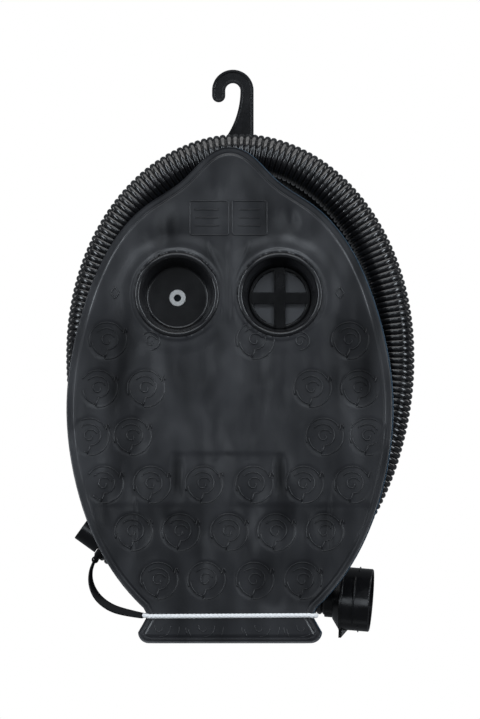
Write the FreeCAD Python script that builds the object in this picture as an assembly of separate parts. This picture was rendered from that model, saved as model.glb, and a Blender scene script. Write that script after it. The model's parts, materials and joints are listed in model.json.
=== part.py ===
"""Suction pool cleaner in its storage state, hanging from its hook.

Millimetres. X is across the cleaner, Y is away from its underside, Z is up.
The origin is the saddle of the hanger hook. The flat mat is at the front, facing -Y, and its hose
is coiled behind it, round the domed cover.
"""
import FreeCAD, Part
import math
import os

V = FreeCAD.Vector
FRONT_TO_BACK = V(0, 1, 0)


def direction(slope, yaw=0.0):
    """A unit vector towards +X, sloping down, and turned towards the front."""
    down = math.radians(slope)
    turn = math.radians(yaw)
    return V(math.cos(down) * math.cos(turn), -math.cos(down) * math.sin(turn), -math.sin(down))


# ---- running and seating clearances
RUNNING = 0.05          # radial, a turning fit
END_PLAY = 0.4          # along a turning fit
LOOSE = 1.0             # parts that only lie near each other
SINK = 1.0              # how far tools and joined shapes run past a face

# ---- hose
HOSE_R = 19.0
HOSE_WALL = 3.0             # over the rings
HOSE_BORE_R = HOSE_R - HOSE_WALL
TURNS = 3
PASS_GAP = 6.5              # between the rings of one pass and the next
TURN_PITCH = 2 * HOSE_R + PASS_GAP
COIL_X = 6.8
COIL_HALF_WIDTH = 159.3     # of the hose's centre line, as the heights below
COIL_TOP = -72.8
COIL_BOTTOM = -515.0
COIL_UP = 204.7             # from the widest place to the top
COIL_Z = COIL_TOP - COIL_UP
COIL_DOWN = COIL_Z - COIL_BOTTOM
COIL_CHAMFER = 0.45         # of the hose's radius
COIL_SLACK = 8.0            # the inner passes lie up to twice this further in on the right
FIRST_PASS_Y = -TURN_PITCH
LAST_PASS_Y = FIRST_PASS_Y + TURNS * TURN_PITCH
COIL_FRONT = FIRST_PASS_Y - HOSE_R
COIL_BACK = LAST_PASS_Y + HOSE_R

# ---- mat and cover
MAT_X = -3.2
MAT_THICK = 2.5
COVER_THICK = 2.0
COVER_SHIFT = 1.2           # to the right, where its edge shows behind the mat's
BAND_THICK = 2.4            # of the band round the hose, which lies under the rim
BAND_GAP = 0.6
RIM_BACK = COIL_FRONT - BAND_THICK - BAND_GAP
RIM_JOINT = RIM_BACK - COVER_THICK
MAT_FRONT = RIM_JOINT - MAT_THICK
# half widths and heights down one side, from the snout's tip to the neck
SNOUT_TOP = -69.5
MAT_SIDE = [(16, -74), (30, -85.5), (48, -103.8), (83, -127.5), (117.5, -165.5), (145, -226.5),
            (163, -325), (154, -405.5), (126.5, -478.5), (86, -530.5)]
NECK_HALF = 82.0
NECK_Z = -538.2
TAIL_HALF = 91.5
TAIL_FLARE_Z = -555.0
TAIL_BOTTOM = -565.8
TAIL_CORNER = 11.0
ARC_INSET = 1 - math.sqrt(0.5)      # of a quarter arc's middle from each side, per radius

# ---- wells in the mat
WELL_MID_X = -4.2
WELL_SPACING = 103.0
WELL_Z = -217.0
WELL_R = 38.0
WELL_TAPER = 6.5
WELL_FLOOR_R = WELL_R - WELL_TAPER
WELL_DEPTH = 30.0
WELL_WALL = 2.2
WELL_FLOOR_DROP = 3.0       # the floor's centre lies below the mouth's
LIP_WIDE = 4.2              # of the cup's rim, which rests on the mat
LIP_PROUD = 1.6
LIP_ROUND = 0.7
INLET_X = WELL_MID_X + WELL_SPACING / 2
DRAIN_X = WELL_MID_X - WELL_SPACING / 2
FLOOR_Z = WELL_Z - WELL_FLOOR_DROP
FLOOR_FRONT = MAT_FRONT + WELL_DEPTH
FLOOR_BACK = FLOOR_FRONT + WELL_WALL
FLOOR_LEDGE = 3.5           # left round the inlet's opening
FLOOR_OPENING_R = WELL_FLOOR_R - FLOOR_LEDGE

# ---- domed middle of the cover
DOME_Z = -285.0
DOME_HALF_HEIGHT = 165.0
DOME_TOP = DOME_Z + DOME_HALF_HEIGHT
DOME_MARGIN = 29.9          # past the throat's flange, at the widest place
DOME_TAPER = 10.0
DOME_ROUND = 9.0
ROOF_GAP = 9.6              # from the wells' floors to the roof's inner face
ROOF_IN = FLOOR_BACK + ROOF_GAP
ROOF_OUT = ROOF_IN + COVER_THICK
ROOF_HOLE_GAP = 0.3         # round the throat

# ---- inlet: guard, throat, flap and swivel
GUARD_GAP = 0.5             # to the well's wall
GUARD_R = WELL_FLOOR_R - GUARD_GAP
GUARD_RING = 2.6
GUARD_THICK = 3.0
GUARD_BAR = 11.5
GUARD_BAR_PROUD = 1.4
GUARD_CHANNEL = 8.5
GUARD_BAR_INSET = 0.5       # of the bars' ends from the ring's outside
GASKET_THICK = 1.5
GASKET_OUT = 2.0            # past the floor's edge
GASKET_IN = 0.5             # back from the opening's edge
THROAT_MARGIN = 0.3         # past the well's wall
THROAT_R = WELL_FLOOR_R + WELL_WALL + THROAT_MARGIN
THROAT_WALL = 2.5
THROAT_DEPTH = 44.0
THROAT_FLANGE = 6.6
THROAT_FLANGE_THICK = 2.5
DOME_HALF_WIDTH = WELL_SPACING / 2 + THROAT_R + THROAT_FLANGE + DOME_MARGIN
THROAT_FRONT = FLOOR_BACK + GASKET_THICK
THROAT_BACK = THROAT_FRONT + THROAT_DEPTH
FLAP_GAP = 0.5              # to the opening's edge
FLAP_R = FLOOR_OPENING_R - FLAP_GAP
FLAP_THICK = 2.5
FLAP_SETBACK = 0.8
FLAP_PIN_R = 1.5
FLAP_PIN_INSET = 3.5        # from the flap's edge
FLAP_PIN_UP = FLAP_R - FLAP_PIN_INSET
FLAP_PIN_GRIP = 1.1         # in the throat's wall, at each end
FLAP_PIN_HALF = math.sqrt((THROAT_R - THROAT_WALL) ** 2 - FLAP_PIN_UP ** 2) + FLAP_PIN_GRIP
FLAP_KNUCKLE_R = 3.4
FLAP_KNUCKLE_HALF = 9.0
FLAP_PIN_SETBACK = 4.6      # behind the flap's back
FLAP_FRONT = THROAT_FRONT + FLAP_SETBACK
FLAP_PIN_Y = FLAP_FRONT + FLAP_THICK + FLAP_PIN_SETBACK
FLAP_PIN_Z = FLOOR_Z + FLAP_PIN_UP
BUSH_WALL = 3.0
BUSH_LENGTH = 8.0
JOURNAL_R = 15.0
SPIGOT_STEP = 1.4           # from the journal down to the stub
SPIGOT_R = JOURNAL_R - SPIGOT_STEP
SPIGOT_WALL = 2.4
SPIGOT_BORE_R = SPIGOT_R - SPIGOT_WALL
SPIGOT_REACH = 32.0
SPIGOT_FLANGE = 6.0
SPIGOT_FLANGE_THICK = 2.5
WASHER_THICK = 0.9
CLIP_THICK = 1.5
CLIP_GROOVE = 0.8
CLIP_PROUD = 3.0
CLIP_SHOULDER = 1.5         # of the journal past the clip
CLIP_GAP_HALF = 3.0
WASHER_INSET = 1.0          # from the spigot's flange
BUSH_BACK = THROAT_BACK - THROAT_WALL + BUSH_LENGTH
CLIP_FRONT = BUSH_BACK + END_PLAY
CLIP_BACK = CLIP_FRONT + CLIP_THICK
JOURNAL_END = CLIP_BACK + CLIP_SHOULDER
SPIGOT_END = JOURNAL_END + SPIGOT_REACH
WASHER_BACK = THROAT_BACK - THROAT_WALL - RUNNING

# ---- drain eyelet in the other well
EYELET_HOLE_R = 3.65
EYELET_WALL = 1.5
EYELET_FLANGE_R = 8.35
EYELET_FLANGE_THICK = 1.6
EYELET_ROUND = 1.0

# ---- inside the dome and under the skin
FLOAT_HALF_WIDTH = 46.0
FLOAT_HEIGHT = 20.0
FLOAT_THICK = 16.0
FLOAT_CORNER = 8.0
FLOAT_GAP = 0.3             # behind the mat
FLOAT_ABOVE_WELLS = 17.0    # from the wells' rims to the float's middle
FLOAT_Z = WELL_Z + WELL_R + FLOAT_ABOVE_WELLS
WEIGHT_HALF_WIDTH = 55.0
WEIGHT_HEIGHT = 46.0
WEIGHT_THICK = 6.0
WEIGHT_Z = -395.0
WEIGHT_CORNER = 9.0
WEIGHT_SCREW_INSET = 12.0

# ---- screws
SCREW_R = 1.6
SCREW_HEAD_R = 3.2
SCREW_HEAD = 2.2
SCREW_HEAD_ROUND = 0.9
SCREW_CROSS_DEEP = 0.9
SCREW_CROSS_HALF = 2.0
SCREW_CROSS_SLOT = 0.4
SCREW_BLIND = 1.5           # depth of its hole in the mat
SCREW_BITE = 1.4            # into the mat
THROAT_SCREW_BITE = 2.0     # into the throat's flange

# ---- hanger hook
HOOK_THICK = 5.0
HOOK_IN_R = 7.7
HOOK_OUT_R = 21.2
HOOK_TIP_DROP = 5.0
HOOK_STEM_SWEEP_R = 85.0
HOOK_STEM_END = -62.0
HOOK_RIM = 2.6
HOOK_RECESS = 1.2
HOOK_ARM_THICK = 4.5
HOOK_ARM_HALF = 11.0
HOOK_PAD_GAP = 2.5          # to the dome
HOOK_PAD_THICK = 3.0
HOOK_SLOT_GAP = 0.5
HOOK_SLOT_ROOM = 4.0        # beside the arm
HOOK_ARM_GAP = 3.7          # to the inside of the coil
HOOK_RIB_HALF = 1.5
HOOK_RIB_DEEP = 1.0
HANGER_SCREW_HALF = 6.0
HANGER_SCREW_DROP = 8.5     # below the arm
ARM_TOP = COIL_Z + COIL_UP - HOSE_R - HOOK_ARM_GAP
ARM_BOTTOM = ARM_TOP - HOOK_ARM_THICK

# ---- hose ends
CUFF_PUSH_FIT = 0.2         # over the spigot's stub
CUFF_BORE_R = SPIGOT_R + CUFF_PUSH_FIT
CUFF_SIDE_WALL = 2.2
CUFF_R = CUFF_BORE_R + CUFF_SIDE_WALL
CUFF_LENGTH = 25.0
CUFF_WALL = 3.0
CUFF_SEAT_DEPTH = 18.0      # how far the spigot goes in
CUFF_SEAT_STEP = 0.3
CUFF_MOUTH = V(-150.2, FIRST_PASS_Y, -448.7)
CUFF_SLOPE = 35.7           # below the horizontal
CUFF_CHAMFER = 0.6
CUFF_ROOM = 4.0             # left in the coil past each end of the cuff
NIPPLE_FLANGE_GAP = 0.6     # inside the cuff's bore
NIPPLE_FLANGE_R = CUFF_BORE_R - NIPPLE_FLANGE_GAP
NIPPLE_SHOULDER = 1.7
NIPPLE_R = NIPPLE_FLANGE_R - NIPPLE_SHOULDER
NIPPLE_WALL = 2.0
NIPPLE_BORE_R = NIPPLE_R - NIPPLE_WALL
NIPPLE_GRIP = 16.0
NIPPLE_FLANGE_THICK = 2.2
ADAPTER_R = 32.8
ADAPTER_WALL = 2.6
ADAPTER_LENGTH = 31.2
ADAPTER_LIP = 1.2
ADAPTER_LIP_WIDE = 2.4
ADAPTER_CONE = 7.5
ADAPTER_NECK_WALL = 1.6
ADAPTER_SHOULDER = 1.5      # from the lip in to the cone
ADAPTER_LIP_BEVEL = 0.5
ADAPTER_CHAMFER = 0.8
ADAPTER_BACK_WALL = 4.0
ADAPTER_SEAT_WIDE = 4.2     # of the shoulder that the pump's inlet meets, from the back wall
ADAPTER_SEAT_STEP = 1.0
ADAPTER_SEAT_R = ADAPTER_R - ADAPTER_WALL - ADAPTER_SEAT_STEP
ADAPTER_FLANGE_AT = V(113.3, LAST_PASS_Y - 3.0, -531.2)
ADAPTER_SLOPE = 4.4
ADAPTER_YAW = 6.0
ADAPTER_TAB_REACH = 8.6
ADAPTER_TAB_THICK = 2.6
ADAPTER_TAB_HALF = 7.0
ADAPTER_TAB_TIP_SHARE = 0.35        # of the tab's root width
ADAPTER_TAB_ROOT = 1.5      # sunk in the wall
GUSSET_THICK = 2.6
GUSSET_REACH = 7.5
FERRULE_WALL = 2.0
FERRULE_LENGTH = 16.0
FERRULE_FLANGE = 3.0
FERRULE_FLANGE_THICK = 2.5
FERRULE_R = HOSE_R + FERRULE_WALL
SEAL_THICK = 4.0
SEAL_GAP = 0.6              # to the ferrule's flange
THREAD_PROUD = 1.3
THREAD_WIDE = 1.8
THREAD_ROOT = 0.6           # sunk in the wall
THREAD_TIP_SHARE = 0.4      # of the rib's width
# each broken rib's distance from the flange, first angle and sweep
THREAD_RIBS = [(14.5, 15, 100), (17.5, 135, 60), (14.5, 215, 95), (20.0, 318, 30)]

# ---- neck cord and storage strap
CORD_R = 2.3
CORD_GAP = 1.3              # where it turns round the neck's edges
STRAP_R = 2.2
BAND_WIDE = 6.5
BAND_SETBACK = 1.2          # behind the cuff

# ---- hose routes
CUFF_AXIS = direction(CUFF_SLOPE)
HOSE_START = CUFF_MOUTH + CUFF_AXIS * (CUFF_LENGTH + END_PLAY)
CUFF_RUN = 47.0             # straight, from the cuff
CUFF_ROUTE = [HOSE_START, HOSE_START + CUFF_AXIS * CUFF_RUN, V(-45.1, FIRST_PASS_Y, -506.9),
              V(2.3, FIRST_PASS_Y, -514.4)]
ADAPTER_AXIS = direction(ADAPTER_SLOPE, ADAPTER_YAW)
HOSE_END = ADAPTER_FLANGE_AT + ADAPTER_AXIS * (ADAPTER_BACK_WALL + END_PLAY)
ADAPTER_RUN = 44.0          # straight, to the adapter
ADAPTER_ROUTE = [V(-24.0, LAST_PASS_Y + 1.5, -516.5), V(21.0, LAST_PASS_Y + 2.0, -521.3),
                 ADAPTER_FLANGE_AT - ADAPTER_AXIS * ADAPTER_RUN, HOSE_END]
ARC_SHARE = 0.45            # of the shorter run beside it that a bend takes

# ---- strap route
BAND_AT = HOSE_START + CUFF_AXIS * BAND_SETBACK
BAND_UNDER = V(-math.sin(math.radians(CUFF_SLOPE)), 0, -math.cos(math.radians(CUFF_SLOPE)))
STRAP_START = BAND_AT + CUFF_AXIS * (BAND_WIDE / 2) + BAND_UNDER * (HOSE_R + BAND_THICK / 2)
CORD_SIDE = MAT_X - NECK_HALF - COVER_SHIFT - CORD_GAP - 2 * CORD_R
STRAP_ROUTE = [STRAP_START, V(-142.4, -47.0, -490.0), V(-143.6, -51.0, -505.0), V(-137.5, -56.0, -519.5),
               V(-125.5, -61.0, -529.5), V(-110.5, -65.5, -535.0),
               V(CORD_SIDE + 0.3, (MAT_FRONT + RIM_BACK) / 2, NECK_Z)]


def cylinder(r, y0, y1, x, z):
    """A round solid along Y."""
    return Part.makeCylinder(r, y1 - y0, V(x, y0, z), FRONT_TO_BACK)


def ring(r_out, r_in, y0, y1, x, z):
    return cylinder(r_out, y0, y1, x, z).cut(cylinder(r_in, y0 - 1, y1 + 1, x, z))


def box(x0, x1, y0, y1, z0, z1):
    return Part.makeBox(x1 - x0, y1 - y0, z1 - z0, V(x0, y0, z0))


def slab(wire, thickness):
    return Part.Face(wire).extrude(V(0, thickness, 0))


def oval(half_width, up, down, x, y, z):
    """A closed curve in a plane across Y: half an ellipse above z and half of another below it."""
    centre = V(x, y, z)
    side = V(x + half_width, y, z)
    upper = Part.Ellipse(V(x, y, z + up), side, centre)
    lower = Part.Ellipse(V(x, y, z + down), side, centre)
    quarter = math.pi / 2
    return Part.Wire([Part.ArcOfEllipse(upper, -quarter, quarter).toShape(),
                      Part.ArcOfEllipse(lower, quarter, 3 * quarter).toShape()])


def mat_outline(y):
    """The mat's edge: snout, rounded body, neck and tail."""
    def at(half, z, side):
        return V(MAT_X + side * half, y, z)

    def body():
        tip = V(MAT_X, y, SNOUT_TOP)
        left = [at(half, z, -1) for half, z in MAT_SIDE]
        right = [at(half, z, 1) for half, z in MAT_SIDE]
        curve = Part.BSplineCurve()
        curve.interpolate(left[::-1] + [tip] + right)
        return curve.toShape()

    def neck_and_tail(side):
        start = at(MAT_SIDE[-1][0], MAT_SIDE[-1][1], side)
        neck = at(NECK_HALF, NECK_Z, side)
        flare = at(TAIL_HALF, TAIL_FLARE_Z, side)
        turn = at(TAIL_HALF - TAIL_CORNER * ARC_INSET, TAIL_BOTTOM + TAIL_CORNER * ARC_INSET, side)
        foot = at(TAIL_HALF - TAIL_CORNER, TAIL_BOTTOM, side)
        return [Part.LineSegment(start, neck).toShape(),
                Part.LineSegment(neck, flare).toShape(),
                Part.Arc(flare, turn, foot).toShape()], foot

    right, right_foot = neck_and_tail(1)
    left, left_foot = neck_and_tail(-1)
    edges = [body()] + right + [Part.LineSegment(right_foot, left_foot).toShape()] + left[::-1]
    return Part.Wire(Part.__sortEdges__(edges))


def well(x, grow, y_end):
    """The tapering space of a well, its wall moved outwards by grow, down to y_end."""
    mouth = Part.Wire(Part.Circle(V(x, MAT_FRONT, WELL_Z), FRONT_TO_BACK, WELL_R + grow).toShape())
    floor = Part.Wire(Part.Circle(V(x, y_end, FLOOR_Z), FRONT_TO_BACK, WELL_FLOOR_R + grow).toShape())
    return Part.makeLoft([mouth, floor], True)


def floor_mat():
    plate = slab(mat_outline(MAT_FRONT), MAT_THICK)
    for x in (DRAIN_X, INLET_X):
        plate = plate.cut(cylinder(WELL_R + WELL_WALL, MAT_FRONT - 1, RIM_JOINT + 1, x, WELL_Z))
    for x, z in weight_screw_places() + hanger_screw_places():
        plate = plate.cut(cylinder(SCREW_R, RIM_JOINT - SCREW_BLIND, RIM_JOINT + SINK, x, z))
    return plate.removeSplitter()


def well_cup(x, hole_r):
    """A tapering cup set into the mat, with a rim that rests on it and a hole in its floor."""
    lip = ring(WELL_R + LIP_WIDE, WELL_R, MAT_FRONT - LIP_PROUD, MAT_FRONT, x, WELL_Z)
    lip = lip.makeFillet(LIP_ROUND, [e for e in lip.Edges if e.BoundBox.YMax < MAT_FRONT - LIP_PROUD / 2])
    cup = lip.fuse(well(x, WELL_WALL, FLOOR_BACK)).cut(well(x, 0, FLOOR_FRONT))
    return cup.cut(cylinder(hole_r, MAT_FRONT, FLOOR_BACK + 1, x, FLOOR_Z)).removeSplitter()


def dome(grow, y_front, y_back):
    """The dome's shape, its walls moved outwards by grow."""
    base = oval(DOME_HALF_WIDTH + grow, DOME_HALF_HEIGHT + grow, DOME_HALF_HEIGHT + grow,
                MAT_X, y_front, DOME_Z)
    roof = oval(DOME_HALF_WIDTH + grow - DOME_TAPER, DOME_HALF_HEIGHT + grow - DOME_TAPER,
                DOME_HALF_HEIGHT + grow - DOME_TAPER, MAT_X, y_back, DOME_Z)
    shape = Part.makeLoft([base, roof], True)
    rim = [e for e in shape.Edges if abs(e.BoundBox.YMin - y_back) < 0.01
           and abs(e.BoundBox.YMax - y_back) < 0.01]
    return shape.makeFillet(DOME_ROUND + grow, rim)


def top_cover():
    plate = slab(mat_outline(RIM_JOINT), COVER_THICK)
    plate.translate(V(COVER_SHIFT, 0, 0))
    shell = plate.fuse(dome(0, RIM_JOINT, ROOF_OUT)).cut(dome(-COVER_THICK, RIM_JOINT, ROOF_IN))
    shell = shell.cut(cylinder(THROAT_R + ROOF_HOLE_GAP, ROOF_IN - 1, ROOF_OUT + 1, INLET_X, FLOOR_Z))
    for x, z in throat_screw_places():
        shell = shell.cut(cylinder(SCREW_R, ROOF_IN - 1, ROOF_OUT + 1, x, z))
    for x, z in hanger_screw_places():
        shell = shell.cut(cylinder(SCREW_R, RIM_JOINT - 1, RIM_BACK + 1, x, z))
    return shell.removeSplitter()


def inlet_guard():
    """A ring with a cross of two bars. The upright bar stands proud and has a shallow channel."""
    back = FLOOR_FRONT
    front = back - GUARD_THICK
    inner = GUARD_R - GUARD_RING
    half = GUARD_BAR / 2
    guard = ring(GUARD_R, inner, front, back, INLET_X, FLOOR_Z)
    disc = cylinder(GUARD_R - GUARD_BAR_INSET, front - GUARD_BAR_PROUD, back, INLET_X, FLOOR_Z)
    across = box(INLET_X - GUARD_R, INLET_X + GUARD_R, front, back, FLOOR_Z - half, FLOOR_Z + half)
    upright = box(INLET_X - half, INLET_X + half, front - GUARD_BAR_PROUD, back,
                  FLOOR_Z - GUARD_R, FLOOR_Z + GUARD_R)
    channel = box(INLET_X - GUARD_CHANNEL / 2, INLET_X + GUARD_CHANNEL / 2,
                  front - GUARD_BAR_PROUD - 1, front, FLOOR_Z - GUARD_R, FLOOR_Z + GUARD_R)
    return guard.fuse(across.fuse(upright).cut(channel).common(disc)).removeSplitter()


def throat_gasket():
    return ring(WELL_FLOOR_R + GASKET_OUT, FLOOR_OPENING_R + GASKET_IN, FLOOR_BACK, THROAT_FRONT,
                INLET_X, FLOOR_Z)


def throat_screw_places():
    reach = THROAT_R + THROAT_FLANGE / 2
    return [(INLET_X + reach * math.cos(math.radians(a)), FLOOR_Z + reach * math.sin(math.radians(a)))
            for a in (45, 135, 225, 315)]


def throat_housing():
    """The tube behind the inlet. Its back wall carries the swivel's bush."""
    inner = THROAT_R - THROAT_WALL
    body = ring(THROAT_R, inner, THROAT_FRONT, THROAT_BACK, INLET_X, FLOOR_Z)
    flange = ring(THROAT_R + THROAT_FLANGE, inner, ROOF_IN - THROAT_FLANGE_THICK, ROOF_IN,
                  INLET_X, FLOOR_Z)
    body = body.fuse(flange.common(dome(-COVER_THICK, RIM_JOINT, ROOF_IN)))
    body = body.fuse(ring(inner + 1, JOURNAL_R + BUSH_WALL, THROAT_BACK - THROAT_WALL, THROAT_BACK,
                          INLET_X, FLOOR_Z))
    for x, z in throat_screw_places():
        body = body.cut(cylinder(SCREW_R, ROOF_IN - THROAT_FLANGE_THICK - 1, ROOF_IN + 1, x, z))
    return body.cut(flap_pin()).removeSplitter()


def flap_pin():
    return Part.makeCylinder(FLAP_PIN_R, 2 * FLAP_PIN_HALF,
                             V(INLET_X - FLAP_PIN_HALF, FLAP_PIN_Y, FLAP_PIN_Z), V(1, 0, 0))


def inlet_flap():
    """The disc behind the guard that lets water in and keeps debris from falling out."""
    disc = cylinder(FLAP_R, FLAP_FRONT, FLAP_FRONT + FLAP_THICK, INLET_X, FLOOR_Z)
    half = FLAP_KNUCKLE_HALF
    knuckle = Part.makeCylinder(FLAP_KNUCKLE_R, 2 * half, V(INLET_X - half, FLAP_PIN_Y, FLAP_PIN_Z),
                                V(1, 0, 0))
    tab = box(INLET_X - half, INLET_X + half, FLAP_FRONT + FLAP_THICK - 0.5, FLAP_PIN_Y,
              FLAP_PIN_Z - FLAP_KNUCKLE_R, FLAP_PIN_Z)
    bore = Part.makeCylinder(FLAP_PIN_R + RUNNING, 4 * half,
                             V(INLET_X - 2 * half, FLAP_PIN_Y, FLAP_PIN_Z), V(1, 0, 0))
    return disc.fuse(knuckle).fuse(tab).cut(bore).removeSplitter()


def screws(places, head_at, shank):
    """Pan-head screws driven from the back."""
    group = []
    for x, z in places:
        head = cylinder(SCREW_HEAD_R, head_at, head_at + SCREW_HEAD, x, z)
        head = head.makeFillet(SCREW_HEAD_ROUND, [e for e in head.Edges if e.BoundBox.YMin > head_at + 1])
        cross_at = head_at + SCREW_HEAD - SCREW_CROSS_DEEP
        upright = box(x - SCREW_CROSS_SLOT, x + SCREW_CROSS_SLOT, cross_at, head_at + SCREW_HEAD + SINK,
                      z - SCREW_CROSS_HALF, z + SCREW_CROSS_HALF)
        across = box(x - SCREW_CROSS_HALF, x + SCREW_CROSS_HALF, cross_at, head_at + SCREW_HEAD + SINK,
                     z - SCREW_CROSS_SLOT, z + SCREW_CROSS_SLOT)
        screw = head.fuse(cylinder(SCREW_R, head_at - shank, head_at + SCREW_HEAD / 4, x, z))
        group.append(screw.cut(upright).cut(across).removeSplitter())
    return Part.makeCompound(group)


def swivel_bush():
    return ring(JOURNAL_R + BUSH_WALL, JOURNAL_R + RUNNING, THROAT_BACK - THROAT_WALL,
                THROAT_BACK - THROAT_WALL + BUSH_LENGTH, INLET_X, FLOOR_Z)


def hose_spigot():
    """The turning stub that the hose's cuff pushes on to."""
    flange_back = WASHER_BACK - WASHER_THICK
    body = cylinder(JOURNAL_R, flange_back - SPIGOT_FLANGE_THICK, JOURNAL_END, INLET_X, FLOOR_Z)
    body = body.fuse(cylinder(JOURNAL_R + SPIGOT_FLANGE, flange_back - SPIGOT_FLANGE_THICK,
                              flange_back, INLET_X, FLOOR_Z))
    body = body.fuse(cylinder(SPIGOT_R, JOURNAL_END - 1, SPIGOT_END, INLET_X, FLOOR_Z))
    body = body.cut(ring(JOURNAL_R + 1, JOURNAL_R - CLIP_GROOVE, CLIP_FRONT, CLIP_BACK,
                         INLET_X, FLOOR_Z))
    return body.cut(cylinder(SPIGOT_BORE_R, flange_back - SPIGOT_FLANGE_THICK - SINK, SPIGOT_END + SINK,
                             INLET_X, FLOOR_Z))


def swivel_washer():
    return ring(JOURNAL_R + SPIGOT_FLANGE - WASHER_INSET, JOURNAL_R, WASHER_BACK - WASHER_THICK, WASHER_BACK,
                INLET_X, FLOOR_Z)


def spigot_clip():
    """A snap ring with its gap at the top."""
    clip = ring(JOURNAL_R + CLIP_PROUD, JOURNAL_R - CLIP_GROOVE, CLIP_FRONT, CLIP_BACK,
                INLET_X, FLOOR_Z)
    return clip.cut(box(INLET_X - CLIP_GAP_HALF, INLET_X + CLIP_GAP_HALF, CLIP_FRONT - SINK,
                        CLIP_BACK + SINK, FLOOR_Z, FLOOR_Z + JOURNAL_R + CLIP_PROUD + SINK))


def drain_eyelet():
    front = FLOOR_FRONT - EYELET_FLANGE_THICK
    shank_end = FLOOR_BACK + EYELET_FLANGE_THICK
    flange = cylinder(EYELET_FLANGE_R, front, FLOOR_FRONT, DRAIN_X, FLOOR_Z)
    flange = flange.makeFillet(EYELET_ROUND, [e for e in flange.Edges if e.BoundBox.YMax < front + 0.1])
    shank = cylinder(EYELET_HOLE_R + EYELET_WALL, front + EYELET_ROUND, shank_end, DRAIN_X, FLOOR_Z)
    return flange.fuse(shank).cut(cylinder(EYELET_HOLE_R, front - 1, shank_end + 1, DRAIN_X, FLOOR_Z))


def eyelet_washer():
    return ring(EYELET_FLANGE_R, EYELET_HOLE_R + EYELET_WALL, FLOOR_BACK,
                FLOOR_BACK + EYELET_FLANGE_THICK, DRAIN_X, FLOOR_Z)


def rounded_block(half_width, height, y0, y1, z, corner):
    block = box(MAT_X - half_width, MAT_X + half_width, y0, y1, z - height / 2, z + height / 2)
    upright = [e for e in block.Edges if e.BoundBox.YLength > (y1 - y0) * 0.9]
    return block.makeFillet(corner, upright)


def nose_float():
    front = RIM_JOINT + FLOAT_GAP
    return rounded_block(FLOAT_HALF_WIDTH, FLOAT_HEIGHT, front, front + FLOAT_THICK, FLOAT_Z, FLOAT_CORNER)


def weight_screw_places():
    return [(MAT_X + side * (WEIGHT_HALF_WIDTH - WEIGHT_SCREW_INSET), WEIGHT_Z) for side in (-1, 1)]


def tail_weight():
    plate = rounded_block(WEIGHT_HALF_WIDTH, WEIGHT_HEIGHT, RIM_JOINT, RIM_JOINT + WEIGHT_THICK,
                          WEIGHT_Z, WEIGHT_CORNER)
    for x, z in weight_screw_places():
        plate = plate.cut(cylinder(SCREW_R, RIM_JOINT - 1, RIM_JOINT + WEIGHT_THICK + 1, x, z))
    return plate


def hanger_screw_places():
    return [(MAT_X + side * HANGER_SCREW_HALF, ARM_BOTTOM - HANGER_SCREW_DROP) for side in (-1, 1)]


def hook_outline(y, inset):
    """The hook's side shape: a round crook, a blunt tip and a stem that widens downwards."""
    centre_z = -HOOK_IN_R
    in_r = HOOK_IN_R + inset
    out_r = HOOK_OUT_R - inset
    tip_z = centre_z - HOOK_TIP_DROP
    mid_r = (HOOK_IN_R + HOOK_OUT_R) / 2
    sweep_r = HOOK_STEM_SWEEP_R - inset
    sweep_x = HOOK_IN_R - HOOK_STEM_SWEEP_R
    end_z = HOOK_STEM_END + inset

    def sweep(z):
        return V(sweep_x + math.sqrt(sweep_r ** 2 - (z - centre_z) ** 2) + 2 * inset, y, z)

    out_left = V(-out_r, y, centre_z)
    out_right = V(out_r, y, centre_z)
    in_left = V(-in_r, y, centre_z)
    in_right = sweep(centre_z)
    edges = [
        Part.Arc(out_left, V(0, y, centre_z + out_r), out_right),
        Part.LineSegment(out_right, V(out_r, y, end_z)),
        Part.LineSegment(V(out_r, y, end_z), sweep(end_z)),
        Part.Arc(sweep(end_z), sweep((end_z + centre_z) / 2), in_right),
        Part.Arc(in_right, V(0, y, centre_z + in_r), in_left),
        Part.LineSegment(in_left, V(-in_r, y, tip_z)),
        Part.Arc(V(-in_r, y, tip_z), V(-mid_r, y, tip_z - (out_r - in_r) / 2), V(-out_r, y, tip_z)),
        Part.LineSegment(V(-out_r, y, tip_z), out_left),
    ]
    return Part.Wire([e.toShape() for e in edges])


def hanger_hook():
    """The hook, and the arm that carries the coil and is screwed to the cover's snout."""
    half = HOOK_THICK / 2
    hook = slab(hook_outline(-half, 0), HOOK_THICK)
    hook = hook.cut(slab(hook_outline(-half - 1, HOOK_RIM), 1 + HOOK_RECESS))
    hook = hook.cut(slab(hook_outline(half - HOOK_RECESS, HOOK_RIM), 1 + HOOK_RECESS))
    foot_left = MAT_X - HOOK_ARM_HALF
    stem = box(foot_left, HOOK_OUT_R, -half, half, ARM_BOTTOM, HOOK_STEM_END)
    arm = box(foot_left, MAT_X + HOOK_ARM_HALF, RIM_BACK, half, ARM_BOTTOM, ARM_TOP)
    pad = box(foot_left, MAT_X + HOOK_ARM_HALF, RIM_BACK, RIM_BACK + HOOK_PAD_THICK,
              DOME_TOP + HOOK_PAD_GAP, ARM_TOP)
    rib = box(MAT_X - HOOK_RIB_HALF, MAT_X + HOOK_RIB_HALF, RIM_BACK, half,
              ARM_BOTTOM - HOOK_RIB_DEEP, ARM_BOTTOM + HOOK_RIB_DEEP)
    hook = hook.fuse(stem).fuse(arm).fuse(pad).fuse(rib)
    for x, z in hanger_screw_places():
        hook = hook.cut(cylinder(SCREW_R, RIM_BACK - 1, RIM_BACK + HOOK_PAD_THICK + 1, x, z))
    return hook.removeSplitter()


def line_between(a, b):
    return Part.LineSegment(a, b).toShape()


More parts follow.
